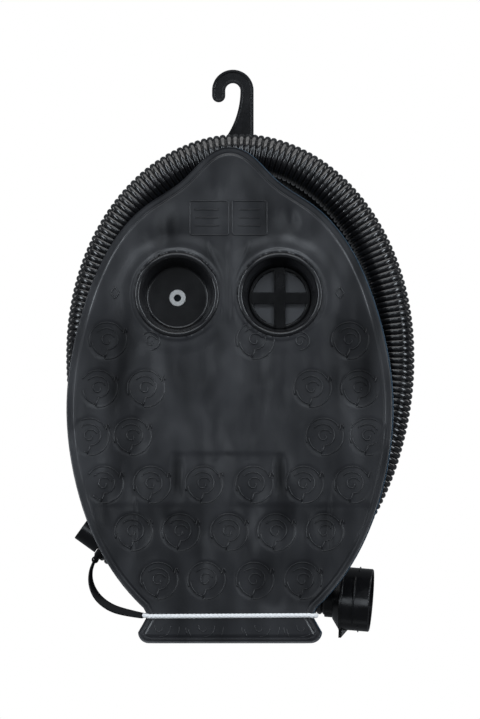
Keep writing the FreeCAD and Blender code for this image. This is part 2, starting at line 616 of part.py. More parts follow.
def smooth_path(points, name):
    """Straight runs joined by tangent arcs. Each arc is as large as its two runs allow."""
    edges = []
    radii = []
    here = points[0]
    for before, corner, after in zip(points, points[1:], points[2:]):
        into = corner - before
        away = after - corner
        half_turn = into.getAngle(away) / 2
        radius = ARC_SHARE * min(into.Length, away.Length) / math.tan(half_turn)
        cut = radius * math.tan(half_turn)
        into.normalize()
        away.normalize()
        start = corner - into * cut
        end = corner + away * cut
        inward = away - into
        inward.normalize()
        middle = corner + inward * (radius / math.cos(half_turn) - radius)
        edges += [line_between(here, start), Part.Arc(start, middle, end).toShape()]
        radii.append(round(radius, 1))
        here = end
    edges.append(line_between(here, points[-1]))
    path = Part.Wire(edges)
    print(name, "length", round(path.Length, 1), "radii", radii)
    return path


def pipe(path, radius):
    edge = path.Edges[0]
    start = edge.valueAt(edge.FirstParameter)
    along = edge.tangentAt(edge.FirstParameter)
    section = Part.Wire(Part.Circle(start, along, radius).toShape())
    solid = path.makePipeShell([section], True, True)
    share = solid.Volume / (math.pi * radius ** 2 * path.Length)
    print("  pipe volume over section times length", round(share, 4))
    return solid


def tail(route, name):
    path = smooth_path(route, name)
    return pipe(path, HOSE_R), pipe(path, HOSE_BORE_R)


def hose_coil(tails):
    """The outer shape of the coiled turns, with room for the hook's stem and the cuff."""
    outer = slab(oval(COIL_HALF_WIDTH + HOSE_R, COIL_UP + HOSE_R, COIL_DOWN + HOSE_R,
                      COIL_X, COIL_FRONT, COIL_Z), COIL_BACK - COIL_FRONT)
    inner = slab(oval(COIL_HALF_WIDTH - HOSE_R - COIL_SLACK, COIL_UP - HOSE_R, COIL_DOWN - HOSE_R,
                      COIL_X - COIL_SLACK, COIL_FRONT - 1, COIL_Z), COIL_BACK - COIL_FRONT + 2)
    shape = outer.cut(inner)
    edges = [e for e in shape.Edges if e.BoundBox.YLength < 0.01]
    shape = shape.makeChamfer(HOSE_R * COIL_CHAMFER, edges)
    half = HOOK_THICK / 2 + HOOK_SLOT_GAP
    shape = shape.cut(box(MAT_X - HOOK_ARM_HALF - HOOK_SLOT_ROOM, HOOK_OUT_R + HOOK_SLOT_ROOM, -half, half,
                          ARM_BOTTOM, COIL_Z + COIL_UP + HOSE_R + SINK))
    relief = Part.makeCylinder(HOSE_R + BAND_THICK + LOOSE, CUFF_LENGTH + BAND_WIDE + 2 * CUFF_ROOM,
                               CUFF_MOUTH - CUFF_AXIS * CUFF_ROOM, CUFF_AXIS)
    shape = shape.cut(relief)
    room = ADAPTER_R + ADAPTER_LIP + LOOSE
    shape = shape.cut(Part.makeCylinder(room, ADAPTER_CONE + ADAPTER_LENGTH,
                                        ADAPTER_FLANGE_AT - ADAPTER_AXIS * ADAPTER_CONE, ADAPTER_AXIS))
    for solid in tails:
        shape = shape.cut(solid)
    return max(shape.Solids, key=lambda s: s.Volume)


def turned(profile, at, axis):
    """A solid of revolution: profile is [(distance along the axis, radius), ...], closed."""
    points = [V(r, 0, s) for s, r in profile]
    face = Part.Face(Part.makePolygon(points + points[:1]))
    solid = face.revolve(V(0, 0, 0), V(0, 0, 1), 360)
    solid.Placement = FreeCAD.Placement(at, FreeCAD.Rotation(V(0, 0, 1), axis))
    return solid


def hose_cuff():
    """The smooth end sleeve, free to turn on the hose's nipple."""
    hole = NIPPLE_R + RUNNING
    wall = CUFF_LENGTH - CUFF_WALL
    inner = CUFF_BORE_R - CUFF_SEAT_STEP
    return turned([(0, CUFF_BORE_R), (0, CUFF_R - CUFF_CHAMFER), (CUFF_CHAMFER, CUFF_R), (CUFF_LENGTH, CUFF_R),
                   (CUFF_LENGTH, hole), (wall, hole), (wall, inner), (CUFF_SEAT_DEPTH, inner),
                   (CUFF_SEAT_DEPTH, CUFF_BORE_R)], CUFF_MOUTH, CUFF_AXIS)


def cuff_nipple():
    wall = CUFF_LENGTH - CUFF_WALL - END_PLAY
    root = CUFF_LENGTH + END_PLAY
    face = wall - NIPPLE_FLANGE_THICK
    return turned([(face, NIPPLE_BORE_R), (face, NIPPLE_FLANGE_R), (wall, NIPPLE_FLANGE_R),
                   (wall, NIPPLE_R), (root, NIPPLE_R), (root, HOSE_BORE_R),
                   (root + NIPPLE_GRIP, HOSE_BORE_R), (root + NIPPLE_GRIP, NIPPLE_BORE_R)],
                  CUFF_MOUTH, CUFF_AXIS)


def adapter_ferrule():
    """The sleeve on the hose's other end that the adapter turns on."""
    inside = ADAPTER_BACK_WALL + END_PLAY
    face = inside + FERRULE_FLANGE_THICK
    return turned([(-FERRULE_LENGTH, HOSE_R), (-FERRULE_LENGTH, FERRULE_R), (inside, FERRULE_R),
                   (inside, FERRULE_R + FERRULE_FLANGE), (face, FERRULE_R + FERRULE_FLANGE),
                   (face, HOSE_BORE_R), (inside, HOSE_BORE_R), (inside, HOSE_R)],
                  ADAPTER_FLANGE_AT, ADAPTER_AXIS)


def hose_adapter():
    """The wide open end for the pump's inlet, with a tab to turn it by and broken thread ribs."""
    hole = FERRULE_R + RUNNING
    bore = ADAPTER_R - ADAPTER_WALL
    back = ADAPTER_BACK_WALL
    seat = back + ADAPTER_SEAT_WIDE
    lip = ADAPTER_R + ADAPTER_LIP
    body = turned([(-ADAPTER_CONE, hole), (-ADAPTER_CONE, hole + ADAPTER_NECK_WALL),
                   (-ADAPTER_LIP_BEVEL, lip - ADAPTER_SHOULDER), (0, lip),
                   (ADAPTER_LIP_WIDE, lip), (ADAPTER_LIP_WIDE, ADAPTER_R),
                   (ADAPTER_LENGTH - ADAPTER_CHAMFER, ADAPTER_R), (ADAPTER_LENGTH, ADAPTER_R - ADAPTER_CHAMFER),
                   (ADAPTER_LENGTH, bore), (seat, bore), (seat, ADAPTER_SEAT_R),
                   (back, ADAPTER_SEAT_R), (back, hole)],
                  ADAPTER_FLANGE_AT, ADAPTER_AXIS)
    for along, first, sweep in THREAD_RIBS:
        body = body.fuse(thread_rib(along, first, sweep))
    return body.fuse(adapter_tab()).removeSplitter()


def adapter_placement():
    return FreeCAD.Placement(ADAPTER_FLANGE_AT, FreeCAD.Rotation(V(0, 0, 1), ADAPTER_AXIS))


def thread_rib(along, first, sweep):
    root = ADAPTER_R - THREAD_ROOT
    tip = ADAPTER_R + THREAD_PROUD
    half = THREAD_WIDE / 2
    crest = half * THREAD_TIP_SHARE
    face = Part.Face(Part.makePolygon([V(root, 0, along - half), V(tip, 0, along - crest),
                                       V(tip, 0, along + crest), V(root, 0, along + half),
                                       V(root, 0, along - half)]))
    rib = face.revolve(V(0, 0, 0), V(0, 0, 1), sweep)
    rib.Placement = adapter_placement().multiply(
        FreeCAD.Placement(V(0, 0, 0), FreeCAD.Rotation(V(0, 0, 1), first)))
    return rib


def adapter_tab():
    """A wing below the lip, stiffened by a triangular gusset on its open-end side."""
    root = ADAPTER_R - ADAPTER_TAB_ROOT
    tip = ADAPTER_R + ADAPTER_TAB_REACH
    low = ADAPTER_TAB_HALF
    narrow = low * ADAPTER_TAB_TIP_SHARE
    thick = ADAPTER_TAB_THICK
    side = -GUSSET_THICK / 2
    wing = Part.Face(Part.makePolygon([V(root, -low, 0), V(tip, -narrow, 0), V(tip, narrow, 0),
                                       V(root, low, 0), V(root, -low, 0)])).extrude(V(0, 0, thick))
    gusset = Part.Face(Part.makePolygon([V(root, side, thick), V(tip, side, thick),
                                         V(root, side, thick + GUSSET_REACH),
                                         V(root, side, thick)])).extrude(V(0, GUSSET_THICK, 0))
    tab = wing.fuse(gusset)
    placed = adapter_placement()
    down = placed.Rotation.inverted().multVec(V(0, 0, -1))
    angle = math.degrees(math.atan2(down.y, down.x))
    tab.Placement = placed.multiply(FreeCAD.Placement(V(0, 0, 0), FreeCAD.Rotation(V(0, 0, 1), angle)))
    return tab


def adapter_seal():
    """The rubber ring that the pump's inlet seats on, at the bottom of the adapter's bore."""
    front = ADAPTER_BACK_WALL
    inner = FERRULE_R + FERRULE_FLANGE + SEAL_GAP
    return turned([(front, inner), (front, ADAPTER_SEAT_R), (front + SEAL_THICK, ADAPTER_SEAT_R),
                   (front + SEAL_THICK, inner)], ADAPTER_FLANGE_AT, ADAPTER_AXIS)


def storage_strap():
    """A band round the hose behind the cuff, and its tail to the neck cord."""
    band = turned([(0, HOSE_R), (0, HOSE_R + BAND_THICK), (BAND_WIDE, HOSE_R + BAND_THICK),
                   (BAND_WIDE, HOSE_R)], BAND_AT, CUFF_AXIS)
    strip = pipe(smooth_path(STRAP_ROUTE, "storage_strap"), STRAP_R)
    hose = Part.makeCylinder(HOSE_R, CUFF_RUN, HOSE_START, CUFF_AXIS)
    return band.fuse(strip.cut(hose)).removeSplitter()


def neck_cord():
    """A cord tied tightly round the neck of the mat and its cover."""
    front = MAT_FRONT - CORD_R
    back = RIM_BACK + CORD_R
    bend = (back - front) / 2
    middle = (back + front) / 2
    half = NECK_HALF + COVER_SHIFT + CORD_R + CORD_GAP - bend
    left = MAT_X - half
    right = MAT_X + half
    path = Part.Wire([
        line_between(V(MAT_X, front, NECK_Z), V(right, front, NECK_Z)),
        Part.Arc(V(right, front, NECK_Z), V(right + bend, middle, NECK_Z), V(right, back, NECK_Z)).toShape(),
        line_between(V(right, back, NECK_Z), V(left, back, NECK_Z)),
        Part.Arc(V(left, back, NECK_Z), V(left - bend, middle, NECK_Z), V(left, front, NECK_Z)).toShape(),
        line_between(V(left, front, NECK_Z), V(MAT_X, front, NECK_Z))])
    print("neck_cord length", round(path.Length, 1))
    return pipe(path, CORD_R)


def main():
    os.makedirs("parts", exist_ok=True)
    cuff_outer, cuff_inner = tail(CUFF_ROUTE, "hose_cuff_tail")
    adapter_outer, adapter_inner = tail(ADAPTER_ROUTE, "hose_adapter_tail")
    nodes = {
        "floor_mat": floor_mat(),
        "drain_cup": well_cup(DRAIN_X, EYELET_HOLE_R + EYELET_WALL),
        "inlet_cup": well_cup(INLET_X, FLOOR_OPENING_R),
        "top_cover": top_cover(),
        "inlet_guard": inlet_guard(),
        "throat_gasket": throat_gasket(),
        "throat_housing": throat_housing(),
        "throat_screws": screws(throat_screw_places(), ROOF_OUT, COVER_THICK + THROAT_SCREW_BITE),
        "flap_pin": flap_pin(),
        "inlet_flap": inlet_flap(),
        "swivel_bush": swivel_bush(),
        "hose_spigot": hose_spigot(),
        "swivel_washer": swivel_washer(),
        "spigot_clip": spigot_clip(),
        "drain_eyelet": drain_eyelet(),
        "eyelet_washer": eyelet_washer(),
        "nose_float": nose_float(),
        "tail_weight": tail_weight(),
        "weight_screws": screws(weight_screw_places(), RIM_JOINT + WEIGHT_THICK,
                                WEIGHT_THICK + SCREW_BITE),
        "hanger_hook": hanger_hook(),
        "hanger_screws": screws(hanger_screw_places(), RIM_BACK + HOOK_PAD_THICK,
                                HOOK_PAD_THICK + COVER_THICK + SCREW_BITE),
        "hose_coil": hose_coil([cuff_outer, adapter_outer]),
        "hose_cuff_tail": cuff_outer.cut(cuff_inner),
        "hose_adapter_tail": adapter_outer.cut(adapter_inner),
        "cuff_nipple": cuff_nipple(),
        "hose_cuff": hose_cuff(),
        "adapter_ferrule": adapter_ferrule(),
        "hose_adapter": hose_adapter(),
        "adapter_seal": adapter_seal(),
        "storage_strap": storage_strap(),
        "neck_cord": neck_cord(),
    }
    for name, shape in nodes.items():
        solids = len(shape.Solids)
        note = "" if shape.isValid() else "  NOT VALID"
        print(f"{name:18s} solids {solids}  volume {shape.Volume / 1000:9.2f} cm3{note}")
        shape.exportStep(f"parts/{name}.step")


main()
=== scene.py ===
"""Looks for the hanging pool cleaner: its stamped mat, ribbed hose, cords, fittings and materials.

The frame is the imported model's: X across, +Y away from the mat's underside, Z up.
Blender's unit is the metre. Sizes of the hose, mat, cords and strap are in millimetres, or say MM.
"""
import json
import math

import bmesh
import bpy
import numpy as np
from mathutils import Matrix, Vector, noise


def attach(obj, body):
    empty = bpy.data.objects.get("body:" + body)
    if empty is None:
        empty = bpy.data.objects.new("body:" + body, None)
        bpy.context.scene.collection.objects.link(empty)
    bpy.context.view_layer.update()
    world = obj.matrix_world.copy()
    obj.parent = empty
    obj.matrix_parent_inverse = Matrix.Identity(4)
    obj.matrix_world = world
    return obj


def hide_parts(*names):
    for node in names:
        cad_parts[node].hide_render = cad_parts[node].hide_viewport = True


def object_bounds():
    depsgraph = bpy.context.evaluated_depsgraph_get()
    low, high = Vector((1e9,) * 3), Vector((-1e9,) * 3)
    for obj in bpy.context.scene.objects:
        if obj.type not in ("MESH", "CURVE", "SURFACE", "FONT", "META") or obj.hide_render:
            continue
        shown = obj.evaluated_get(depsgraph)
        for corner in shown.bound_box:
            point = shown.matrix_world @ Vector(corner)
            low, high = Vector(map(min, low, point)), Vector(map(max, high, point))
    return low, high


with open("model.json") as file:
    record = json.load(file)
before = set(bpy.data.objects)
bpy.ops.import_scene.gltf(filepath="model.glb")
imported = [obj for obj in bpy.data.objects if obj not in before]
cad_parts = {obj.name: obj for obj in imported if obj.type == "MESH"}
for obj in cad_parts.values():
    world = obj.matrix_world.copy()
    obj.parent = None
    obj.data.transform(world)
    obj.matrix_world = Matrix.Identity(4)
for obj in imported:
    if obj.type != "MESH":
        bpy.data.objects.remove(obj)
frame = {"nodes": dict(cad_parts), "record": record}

CAD_BOX = [list(map(float, corner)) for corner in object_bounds()]
MM = 0.001


# ---------------------------------------------------------------- camera, floor and light
CAMERA_DISTANCE = 3.5
CAMERA_AT = Vector((7.3, -71.0, -282.0)) * MM
VIEW_HEIGHT = 0.719
FLOOR_HALF = 0.40
FLOOR_DROP = 2.80
COOL = (0.86, 0.93, 1.0)
WHITE = (1, 1, 1)
MAT_MIDDLE = (0, 0, -0.28)
FITTINGS_MIDDLE = (0.13, 0.06, -0.53)
# name, width, height, watts, place, what it points at, colour
LIGHTS = [
    ("strip_left", 0.5, 2.2, 34, (-2.1, -1.2, 0.1), MAT_MIDDLE, COOL),
    ("strip_right", 0.5, 2.2, 34, (2.1, -1.2, 0.1), MAT_MIDDLE, COOL),
    ("card_above", 2.4, 0.7, 24, (0.1, -2.5, 1.25), MAT_MIDDLE, COOL),
    ("card_near", 2.4, 0.5, 4, (0.1, -3.3, 0.75), MAT_MIDDLE, COOL),
    ("card_left", 0.35, 1.5, 5, (-1.0, -3.3, -0.2), MAT_MIDDLE, COOL),
    ("card_right", 0.35, 1.5, 4, (1.05, -3.3, -0.3), MAT_MIDDLE, COOL),
    ("top", 2.2, 0.6, 10, (0, -0.9, 1.5), MAT_MIDDLE, WHITE),
    ("hose_crest", 2.2, 1.6, 24, (0, -0.15, 1.35), MAT_MIDDLE, WHITE),
    ("back_left", 0.4, 1.6, 7, (-2.4, 1.0, 0.5), MAT_MIDDLE, WHITE),
    ("back_right", 0.4, 1.6, 7, (2.4, 1.0, 0.5), MAT_MIDDLE, WHITE),
    ("card_fittings", 0.6, 1.3, 9.0, (-0.47, -3.3, -0.80), FITTINGS_MIDDLE, COOL),
]
WORLD_TINT = (0.88, 0.94, 1.0, 1)
WORLD_STRENGTH = 0.15


def add_camera():
    data = bpy.data.cameras.new("camera")
    data.sensor_fit = "VERTICAL"
    data.sensor_height = 24
    data.lens = data.sensor_height * CAMERA_DISTANCE / VIEW_HEIGHT
    data.clip_end = 50
    camera = bpy.data.objects.new("camera", data)
    camera.location = CAMERA_AT - Vector((0, CAMERA_DISTANCE, 0))
    camera.rotation_euler = (math.pi / 2, 0, 0)
    bpy.context.collection.objects.link(camera)
    bpy.context.scene.camera = camera


def add_floor():
    half = FLOOR_HALF
    z = CAD_BOX[0][2] - FLOOR_DROP
    verts = [(-half, -half, z), (half, -half, z), (half, half, z), (-half, half, z)]
    floor = new_object("floor", verts, [(0, 1, 2, 3)])
    floor.data.materials.append(floor_material())


def add_light(name, size, size_y, power, location, target, colour):
    data = bpy.data.lights.new(name, "AREA")
    data.shape = "RECTANGLE"
    data.size = size
    data.size_y = size_y
    data.energy = power
    data.color = colour
    light = bpy.data.objects.new(name, data)
    light.location = location
    light.rotation_euler = (Vector(target) - Vector(location)).to_track_quat("-Z", "Y").to_euler()
    bpy.context.collection.objects.link(light)


def lit_only(light_name, *pieces):
    """Keeps a light to these pieces."""
    receivers = bpy.data.collections.new(light_name + "_receivers")
    for piece in pieces:
        receivers.objects.link(piece)
    bpy.data.objects[light_name].light_linking.receiver_collection = receivers


def add_world():
    """White behind the object for the camera, and a weak cool glow for everything else."""
    world = bpy.data.worlds.new("studio")
    bpy.context.scene.world = world
    world.use_nodes = True
    tree = world.node_tree
    tree.nodes.clear()
    out = tree.nodes.new("ShaderNodeOutputWorld")
    seen = tree.nodes.new("ShaderNodeBackground")
    seen.inputs["Color"].default_value = (*WHITE, 1)
    seen.inputs["Strength"].default_value = 1.0
    around = tree.nodes.new("ShaderNodeBackground")
    around.inputs["Color"].default_value = WORLD_TINT
    around.inputs["Strength"].default_value = WORLD_STRENGTH
    path = tree.nodes.new("ShaderNodeLightPath")
    mix = tree.nodes.new("ShaderNodeMixShader")
    tree.links.new(path.outputs["Is Camera Ray"], mix.inputs["Fac"])
    tree.links.new(around.outputs["Background"], mix.inputs[1])
    tree.links.new(seen.outputs["Background"], mix.inputs[2])
    tree.links.new(mix.outputs["Shader"], out.inputs["Surface"])
    bpy.context.scene.view_settings.view_transform = "Standard"


# ---------------------------------------------------------------- mesh helpers
def new_object(name, verts, faces):
    mesh = bpy.data.meshes.new(name)
    mesh.from_pydata([tuple(v) for v in verts], [], faces)
    mesh.validate()
    mesh.update()
    mesh.polygons.foreach_set("use_smooth", [True] * len(mesh.polygons))
    ob = bpy.data.objects.new(name, mesh)
    bpy.context.collection.objects.link(ob)
    return ob


def nurbs_curve(name, points):
    """A smooth curve with the given control points, in metres."""
    data = bpy.data.curves.new(name, "CURVE")
    data.dimensions = "3D"
    data.resolution_u = 16
    spline = data.splines.new("NURBS")
    spline.points.add(len(points) - 1)
    for at, point in zip(spline.points, points):
        at.co = (*point, 1)
    spline.order_u = 3
    spline.use_endpoint_u = True
    ob = bpy.data.objects.new(name, data)
    bpy.context.collection.objects.link(ob)
    return ob


def curve_line(name, points):
    """The points that Blender reads from the NURBS curve, as an array."""
    ob = nurbs_curve(name, points)
    mesh = bpy.data.meshes.new_from_object(ob)
    line = np.array([v.co[:] for v in mesh.vertices])
    bpy.data.meshes.remove(mesh)
    bpy.data.objects.remove(ob)
    return line


def spaced(line, count):
    """The line at count places, evenly spaced along its length."""
    return at_shares(line, np.linspace(0, 1, count))


def at_shares(line, shares):
    """The line at shares of its length, from 0 to 1."""
    return at_lengths(line, np.asarray(shares) * lengths_along(line)[-1])


def at_lengths(line, wanted):
    """The line at these distances from its start, in two or three dimensions."""
    along = lengths_along(line)
    return np.stack([np.interp(wanted, along, line[:, k]) for k in range(line.shape[1])], axis=1)


def lengths_along(line):
    """How far each point lies from the line's start."""
    gaps = np.linalg.norm(np.diff(line, axis=0), axis=1)
    return np.concatenate([[0], np.cumsum(gaps)])


def line_length(line):
    return float(np.linalg.norm(np.diff(line, axis=0), axis=1).sum())


def frames_along(line, up):
    """Two unit directions across the line at each point, the first of them square to up."""
    along = np.gradient(line, axis=0)
    along /= np.linalg.norm(along, axis=1)[:, None]
    side = np.cross(along, up)
    side /= np.linalg.norm(side, axis=1)[:, None]
    return side, np.cross(side, along)


def rings_along(line, up, sides):
    """The angles of a round section, and its unit rings along the line."""
    side, over = frames_along(line, np.array(up, float))
    angles = np.linspace(0, 2 * math.pi, sides, endpoint=False)
    turned = angles[None, :, None]
    return angles, np.cos(turned) * side[:, None] + np.sin(turned) * over[:, None]


def skin_faces(rows, sides):
    """Quads between rings of points that follow a line."""
    faces = []
    for i in range(rows - 1):
        a, b = i * sides, (i + 1) * sides
        for k in range(sides):
            n = (k + 1) % sides
            faces.append((a + k, a + n, b + n, b + k))
    return faces


def capped_faces(rows, sides):
    """The same, with both ends closed."""
    last = (rows - 1) * sides
    return skin_faces(rows, sides) + [tuple(range(sides - 1, -1, -1)), tuple(range(last, last + sides))]


def turned_faces(rows, sides):
    """Quads of a closed section turned round an axis: the last ring meets the first again."""
    faces = []
    for i in range(rows):
        a, b = i * sides, (i + 1) % rows * sides
        for k in range(sides):
            n = (k + 1) % sides
            faces.append((a + k, b + k, b + n, a + n))
    return faces


def tube(name, line, radii, sides):
    """An open tube along the line with one radius for each of its points."""
    rings = rings_along(line, (0, 1, 0), sides)[1]
    verts = (line[:, None] + np.asarray(radii)[:, None, None] * rings).reshape(-1, 3)
    return new_object(name, verts, skin_faces(len(line), sides))


# ---------------------------------------------------------------- materials
NOISE_ROUGH = 0.55
MIX_FROM = 0.3
MIX_TO = 0.7


def material(name):
    made = bpy.data.materials.new(name)
    made.use_nodes = True
    return made, made.node_tree, made.node_tree.nodes["Principled BSDF"]


def noise_node(tree, scale, detail, stretch=(1, 1, 1)):
    place = tree.nodes.new("ShaderNodeTexCoord")
    turn = tree.nodes.new("ShaderNodeMapping")
    turn.inputs["Scale"].default_value = stretch
    node = tree.nodes.new("ShaderNodeTexNoise")
    node.inputs["Scale"].default_value = scale
    node.inputs["Detail"].default_value = detail
    node.inputs["Roughness"].default_value = NOISE_ROUGH
    tree.links.new(place.outputs["Object"], turn.inputs["Vector"])
    tree.links.new(turn.outputs["Vector"], node.inputs["Vector"])
    return node


def ramp(tree, source, low, high, start=0.35, end=0.65):
    node = tree.nodes.new("ShaderNodeMapRange")
    node.inputs["From Min"].default_value = start
    node.inputs["From Max"].default_value = end
    node.inputs["To Min"].default_value = low
    node.inputs["To Max"].default_value = high
    tree.links.new(source, node.inputs["Value"])
    return node.outputs["Result"]


def colour_mix(tree, source, low, high):
    node = tree.nodes.new("ShaderNodeValToRGB")
    node.color_ramp.elements[0].position = MIX_FROM
    node.color_ramp.elements[1].position = MIX_TO
    node.color_ramp.elements[0].color = (*low, 1)
    node.color_ramp.elements[1].color = (*high, 1)
    tree.links.new(source, node.inputs["Fac"])
    return node.outputs["Color"]


def bump(tree, source, shader, depth, strength):
    node = tree.nodes.new("ShaderNodeBump")
    node.inputs["Strength"].default_value = strength
    node.inputs["Distance"].default_value = depth
    tree.links.new(source, node.inputs["Height"])
    tree.links.new(node.outputs["Normal"], shader.inputs["Normal"])
    return node


def plastic(name, dark, light, rough, grain=900, grain_depth=0.00003, cloud=14, specular=0.5):
    """Moulded plastic: soft clouds in its colour and gloss, and a fine grain."""
    made, tree, shader = material(name)
    clouds = noise_node(tree, cloud, 5)
    fine = noise_node(tree, grain, 3)
    tree.links.new(colour_mix(tree, clouds.outputs["Fac"], dark, light), shader.inputs["Base Color"])
    tree.links.new(ramp(tree, clouds.outputs["Fac"], *rough), shader.inputs["Roughness"])
    shader.inputs["Specular IOR Level"].default_value = specular
    bump(tree, fine.outputs["Fac"], shader, grain_depth, 0.6)
    return made


def floor_material():
    made, tree, shader = material("pale_floor")
    clouds = noise_node(tree, 3, 3)
    tree.links.new(colour_mix(tree, clouds.outputs["Fac"], (0.80, 0.80, 0.79), (0.84, 0.84, 0.83)),
                   shader.inputs["Base Color"])
    shader.inputs["Roughness"].default_value = 0.7
    return made


# ---------------------------------------------------------------- hose
HOSE_D = 38.0 * MM
HOSE_SIDES = 18
TURNS = 3
PASS_PITCH = 44.5
FIRST_PASS = -44.5
LAST_PASS = FIRST_PASS + TURNS * PASS_PITCH
COIL_CENTRE = (6.8, -277.5)
COIL_HALF_WIDTH = 159.3
COIL_UP = 204.7
COIL_DOWN = 237.5
TURN_POINTS = 16
CUFF_MOUTH = np.array([-150.2, FIRST_PASS, -448.7])
ADAPTER_AT = np.array([113.3, LAST_PASS - 3.0, -531.2])
RING_PITCH = 5.8 * MM
RING_DEPTH = 2.7 * MM
# places across one ring, from one groove towards the next, with its crest at 0
RING_PLACES = np.array([-1.0, -0.93, -0.72, -0.40, 0.0, 0.40, 0.72, 0.93])
# slopes and turns in degrees; from the cuff's or the adapter's point to the hose; the hose's straight ends
CUFF_SLOPE = 35.7
CUFF_TO_HOSE = 25.4
CUFF_STRAIGHT = 47
INTO_COIL = (-45.1, FIRST_PASS, -506.9)
ADAPTER_SLOPE = 4.4
ADAPTER_YAW = 6.0
ADAPTER_TO_HOSE = 4.4
ADAPTER_STRAIGHT = 44
OUT_OF_COIL = (21.0, LAST_PASS + 2.0, -521.3)
# how far the turns wander outwards and sideways, and how far they are drawn in: all round, and on the left
WANDER_OUT = 1.2
WANDER_SIDE = 0.8
ALL_IN = 0.2
LEFT_IN = 0.9
# how far later turns are pulled in on the right, and after how much of a turn that begins
PULLED_IN = 16.0
PULLED_FROM = 0.6


def slanted(slope, yaw=0.0):
    """A unit vector towards +X, sloping down, and turned towards the front."""
    down, turn = math.radians(slope), math.radians(yaw)
    return np.array([math.cos(down) * math.cos(turn), -math.cos(down) * math.sin(turn), -math.sin(down)])


CUFF_AXIS = slanted(CUFF_SLOPE)
ADAPTER_AXIS = slanted(ADAPTER_SLOPE, ADAPTER_YAW)
HOSE_START = CUFF_MOUTH + CUFF_AXIS * CUFF_TO_HOSE
HOSE_END = ADAPTER_AT + ADAPTER_AXIS * ADAPTER_TO_HOSE


def hose_route():
    """The cuff's stretch, the turns, and the stretch to the adapter, in millimetres."""
    route = [HOSE_START, HOSE_START + CUFF_AXIS * CUFF_STRAIGHT, INTO_COIL]
    grow = 1 / math.cos(math.pi / TURN_POINTS)
    for k in range(TURNS * TURN_POINTS):
        turn = 2 * math.pi * (k + 0.5) / TURN_POINTS
        upright = COIL_UP if math.cos(turn) < 0 else COIL_DOWN
        loose = WANDER_OUT * math.sin(1.7 * turn + 2.2) - ALL_IN - LEFT_IN * max(-math.sin(turn), 0)
        sideways = WANDER_SIDE * math.sin(2.3 * turn)
        later = min(max(turn / (2 * math.pi) - PULLED_FROM, 0), 1)
        pulled = PULLED_IN * later * max(math.sin(turn), 0) ** 0.7
        route.append((COIL_CENTRE[0] + (COIL_HALF_WIDTH + loose) * grow * math.sin(turn) - pulled,
                      FIRST_PASS + PASS_PITCH * turn / (2 * math.pi) + sideways,
                      COIL_CENTRE[1] - (upright + loose) * grow * math.cos(turn)))
    route += [OUT_OF_COIL, ADAPTER_AT - ADAPTER_AXIS * ADAPTER_STRAIGHT, HOSE_END]
    return [Vector(p) * MM for p in route]


def hose_material():
    """Glossy black plastic."""
    made, tree, shader = material("hose_gloss")
    clouds = noise_node(tree, 30, 4)
    fine = noise_node(tree, 700, 3)
    tree.links.new(colour_mix(tree, clouds.outputs["Fac"], (0.0045, 0.0045, 0.005), (0.009, 0.009, 0.010)),
                   shader.inputs["Base Color"])
    tree.links.new(ramp(tree, clouds.outputs["Fac"], 0.16, 0.24), shader.inputs["Roughness"])
    bump(tree, fine.outputs["Fac"], shader, 0.00003, 0.5)
    return made


def add_hose():
    route = hose_route()
    line = curve_line("hose_line", route)
    length = line_length(line)
    rings = round(length / RING_PITCH)
    shares = ((np.arange(rings)[:, None] + 0.5 + 0.5 * RING_PLACES) / rings).ravel()
    radii = np.tile(HOSE_D / 2 - RING_DEPTH * (1 - np.sqrt(1 - RING_PLACES ** 2)), rings)
    line = at_shares(line, shares)
    hose = tube("hose", line, radii, HOSE_SIDES)
    hose.data.materials.append(hose_material())
    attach(hose, "cleaner")
    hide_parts("hose_coil", "hose_cuff_tail", "hose_adapter_tail")
    return hose


# ---------------------------------------------------------------- mat
MAT_X = -3.2
MIDDLE_X = -4.2
NECK_Z = -538.2
TAIL_BOTTOM = -565.8
TAIL_SWIRL_Z = -550.0
TAIL_SWIRLS_X = (-72.7, -28.7, 27.3, 69.3)
TAIL_CORNER = 8.0
MAT_FRONT = -71.0
MAT_THICK = 2.5
MAT_CELL = 1.4
BACK_STEP = 3
RIM_WIDE = 6.6
MAT_PROUD = 3.4
WELL_Z = -217.0
WELL_R = 38.0
WELL_FLOOR_R = 31.5
WELL_DEPTH = 30.0
WELL_FLOOR_DROP = 3.0
WELL_WALL = 2.2
DRAIN_X = -55.7
INLET_X = 47.3
LIP_WIDE = 4.2
LIP_ROUND = 2.7
LIP_OUT = 1.8
LIP_ANGLES = (-15, 5, 25, 45, 65, 90, 115, 140, 165)
WALL_TOP_R = WELL_R - 1.1
WALL_TOP = 2.4
WALL_SHARES = (0.2, 0.4, 0.6, 0.8, 1.0)
EYELET_R = 5.15
OPENING_R = 28.0
CUP_SIDES = 144
SWIRL_R = 19.0
SWIRL_MARGIN = 14.0
RIDGE_HALF = 0.8
RIDGE_PROUD = 1.2
TAIL_RIDGE_HALF = 0.5
TAIL_RIDGE_PROUD = 0.45
# a ridge's section: share of its half width, share of its height
RIDGE_SECTION = ((-1, -0.3), (-0.55, 0.75), (0, 1.0), (0.55, 0.75), (1, -0.3))
# places of the swirls: height of the row, then the distances across
SWIRL_ROWS = [(-262.5, (-125.3, 22.2, 116.9)),
              (-310.5, (-134.4, -87.1, 79.3, 126.6)),
              (-358.5, (-142.7, -100.7, 91.3, 135.3)),
              (-406.5, (-128.7, -81.2, -29.4, 21.1, 71.3, 119.8)),
              (-454.0, (-99.7, -52.4, -3.9, 43.3, 91.7)),
              (-502.5, (-74.1, -26.9, 21.6, 70.1))]
SMALL_SWIRLS = [(-81.7, -264.0), (67.7, -264.0)]
ARROW = [(15.0, 9.2), (16.2, 6.3), (17.0, 11.8), (18.6, 11.6), (19.6, 7.6)]
SPOKE = [(0.2, -9.2), (-1.2, -13.5), (-2.8, -18.0)]
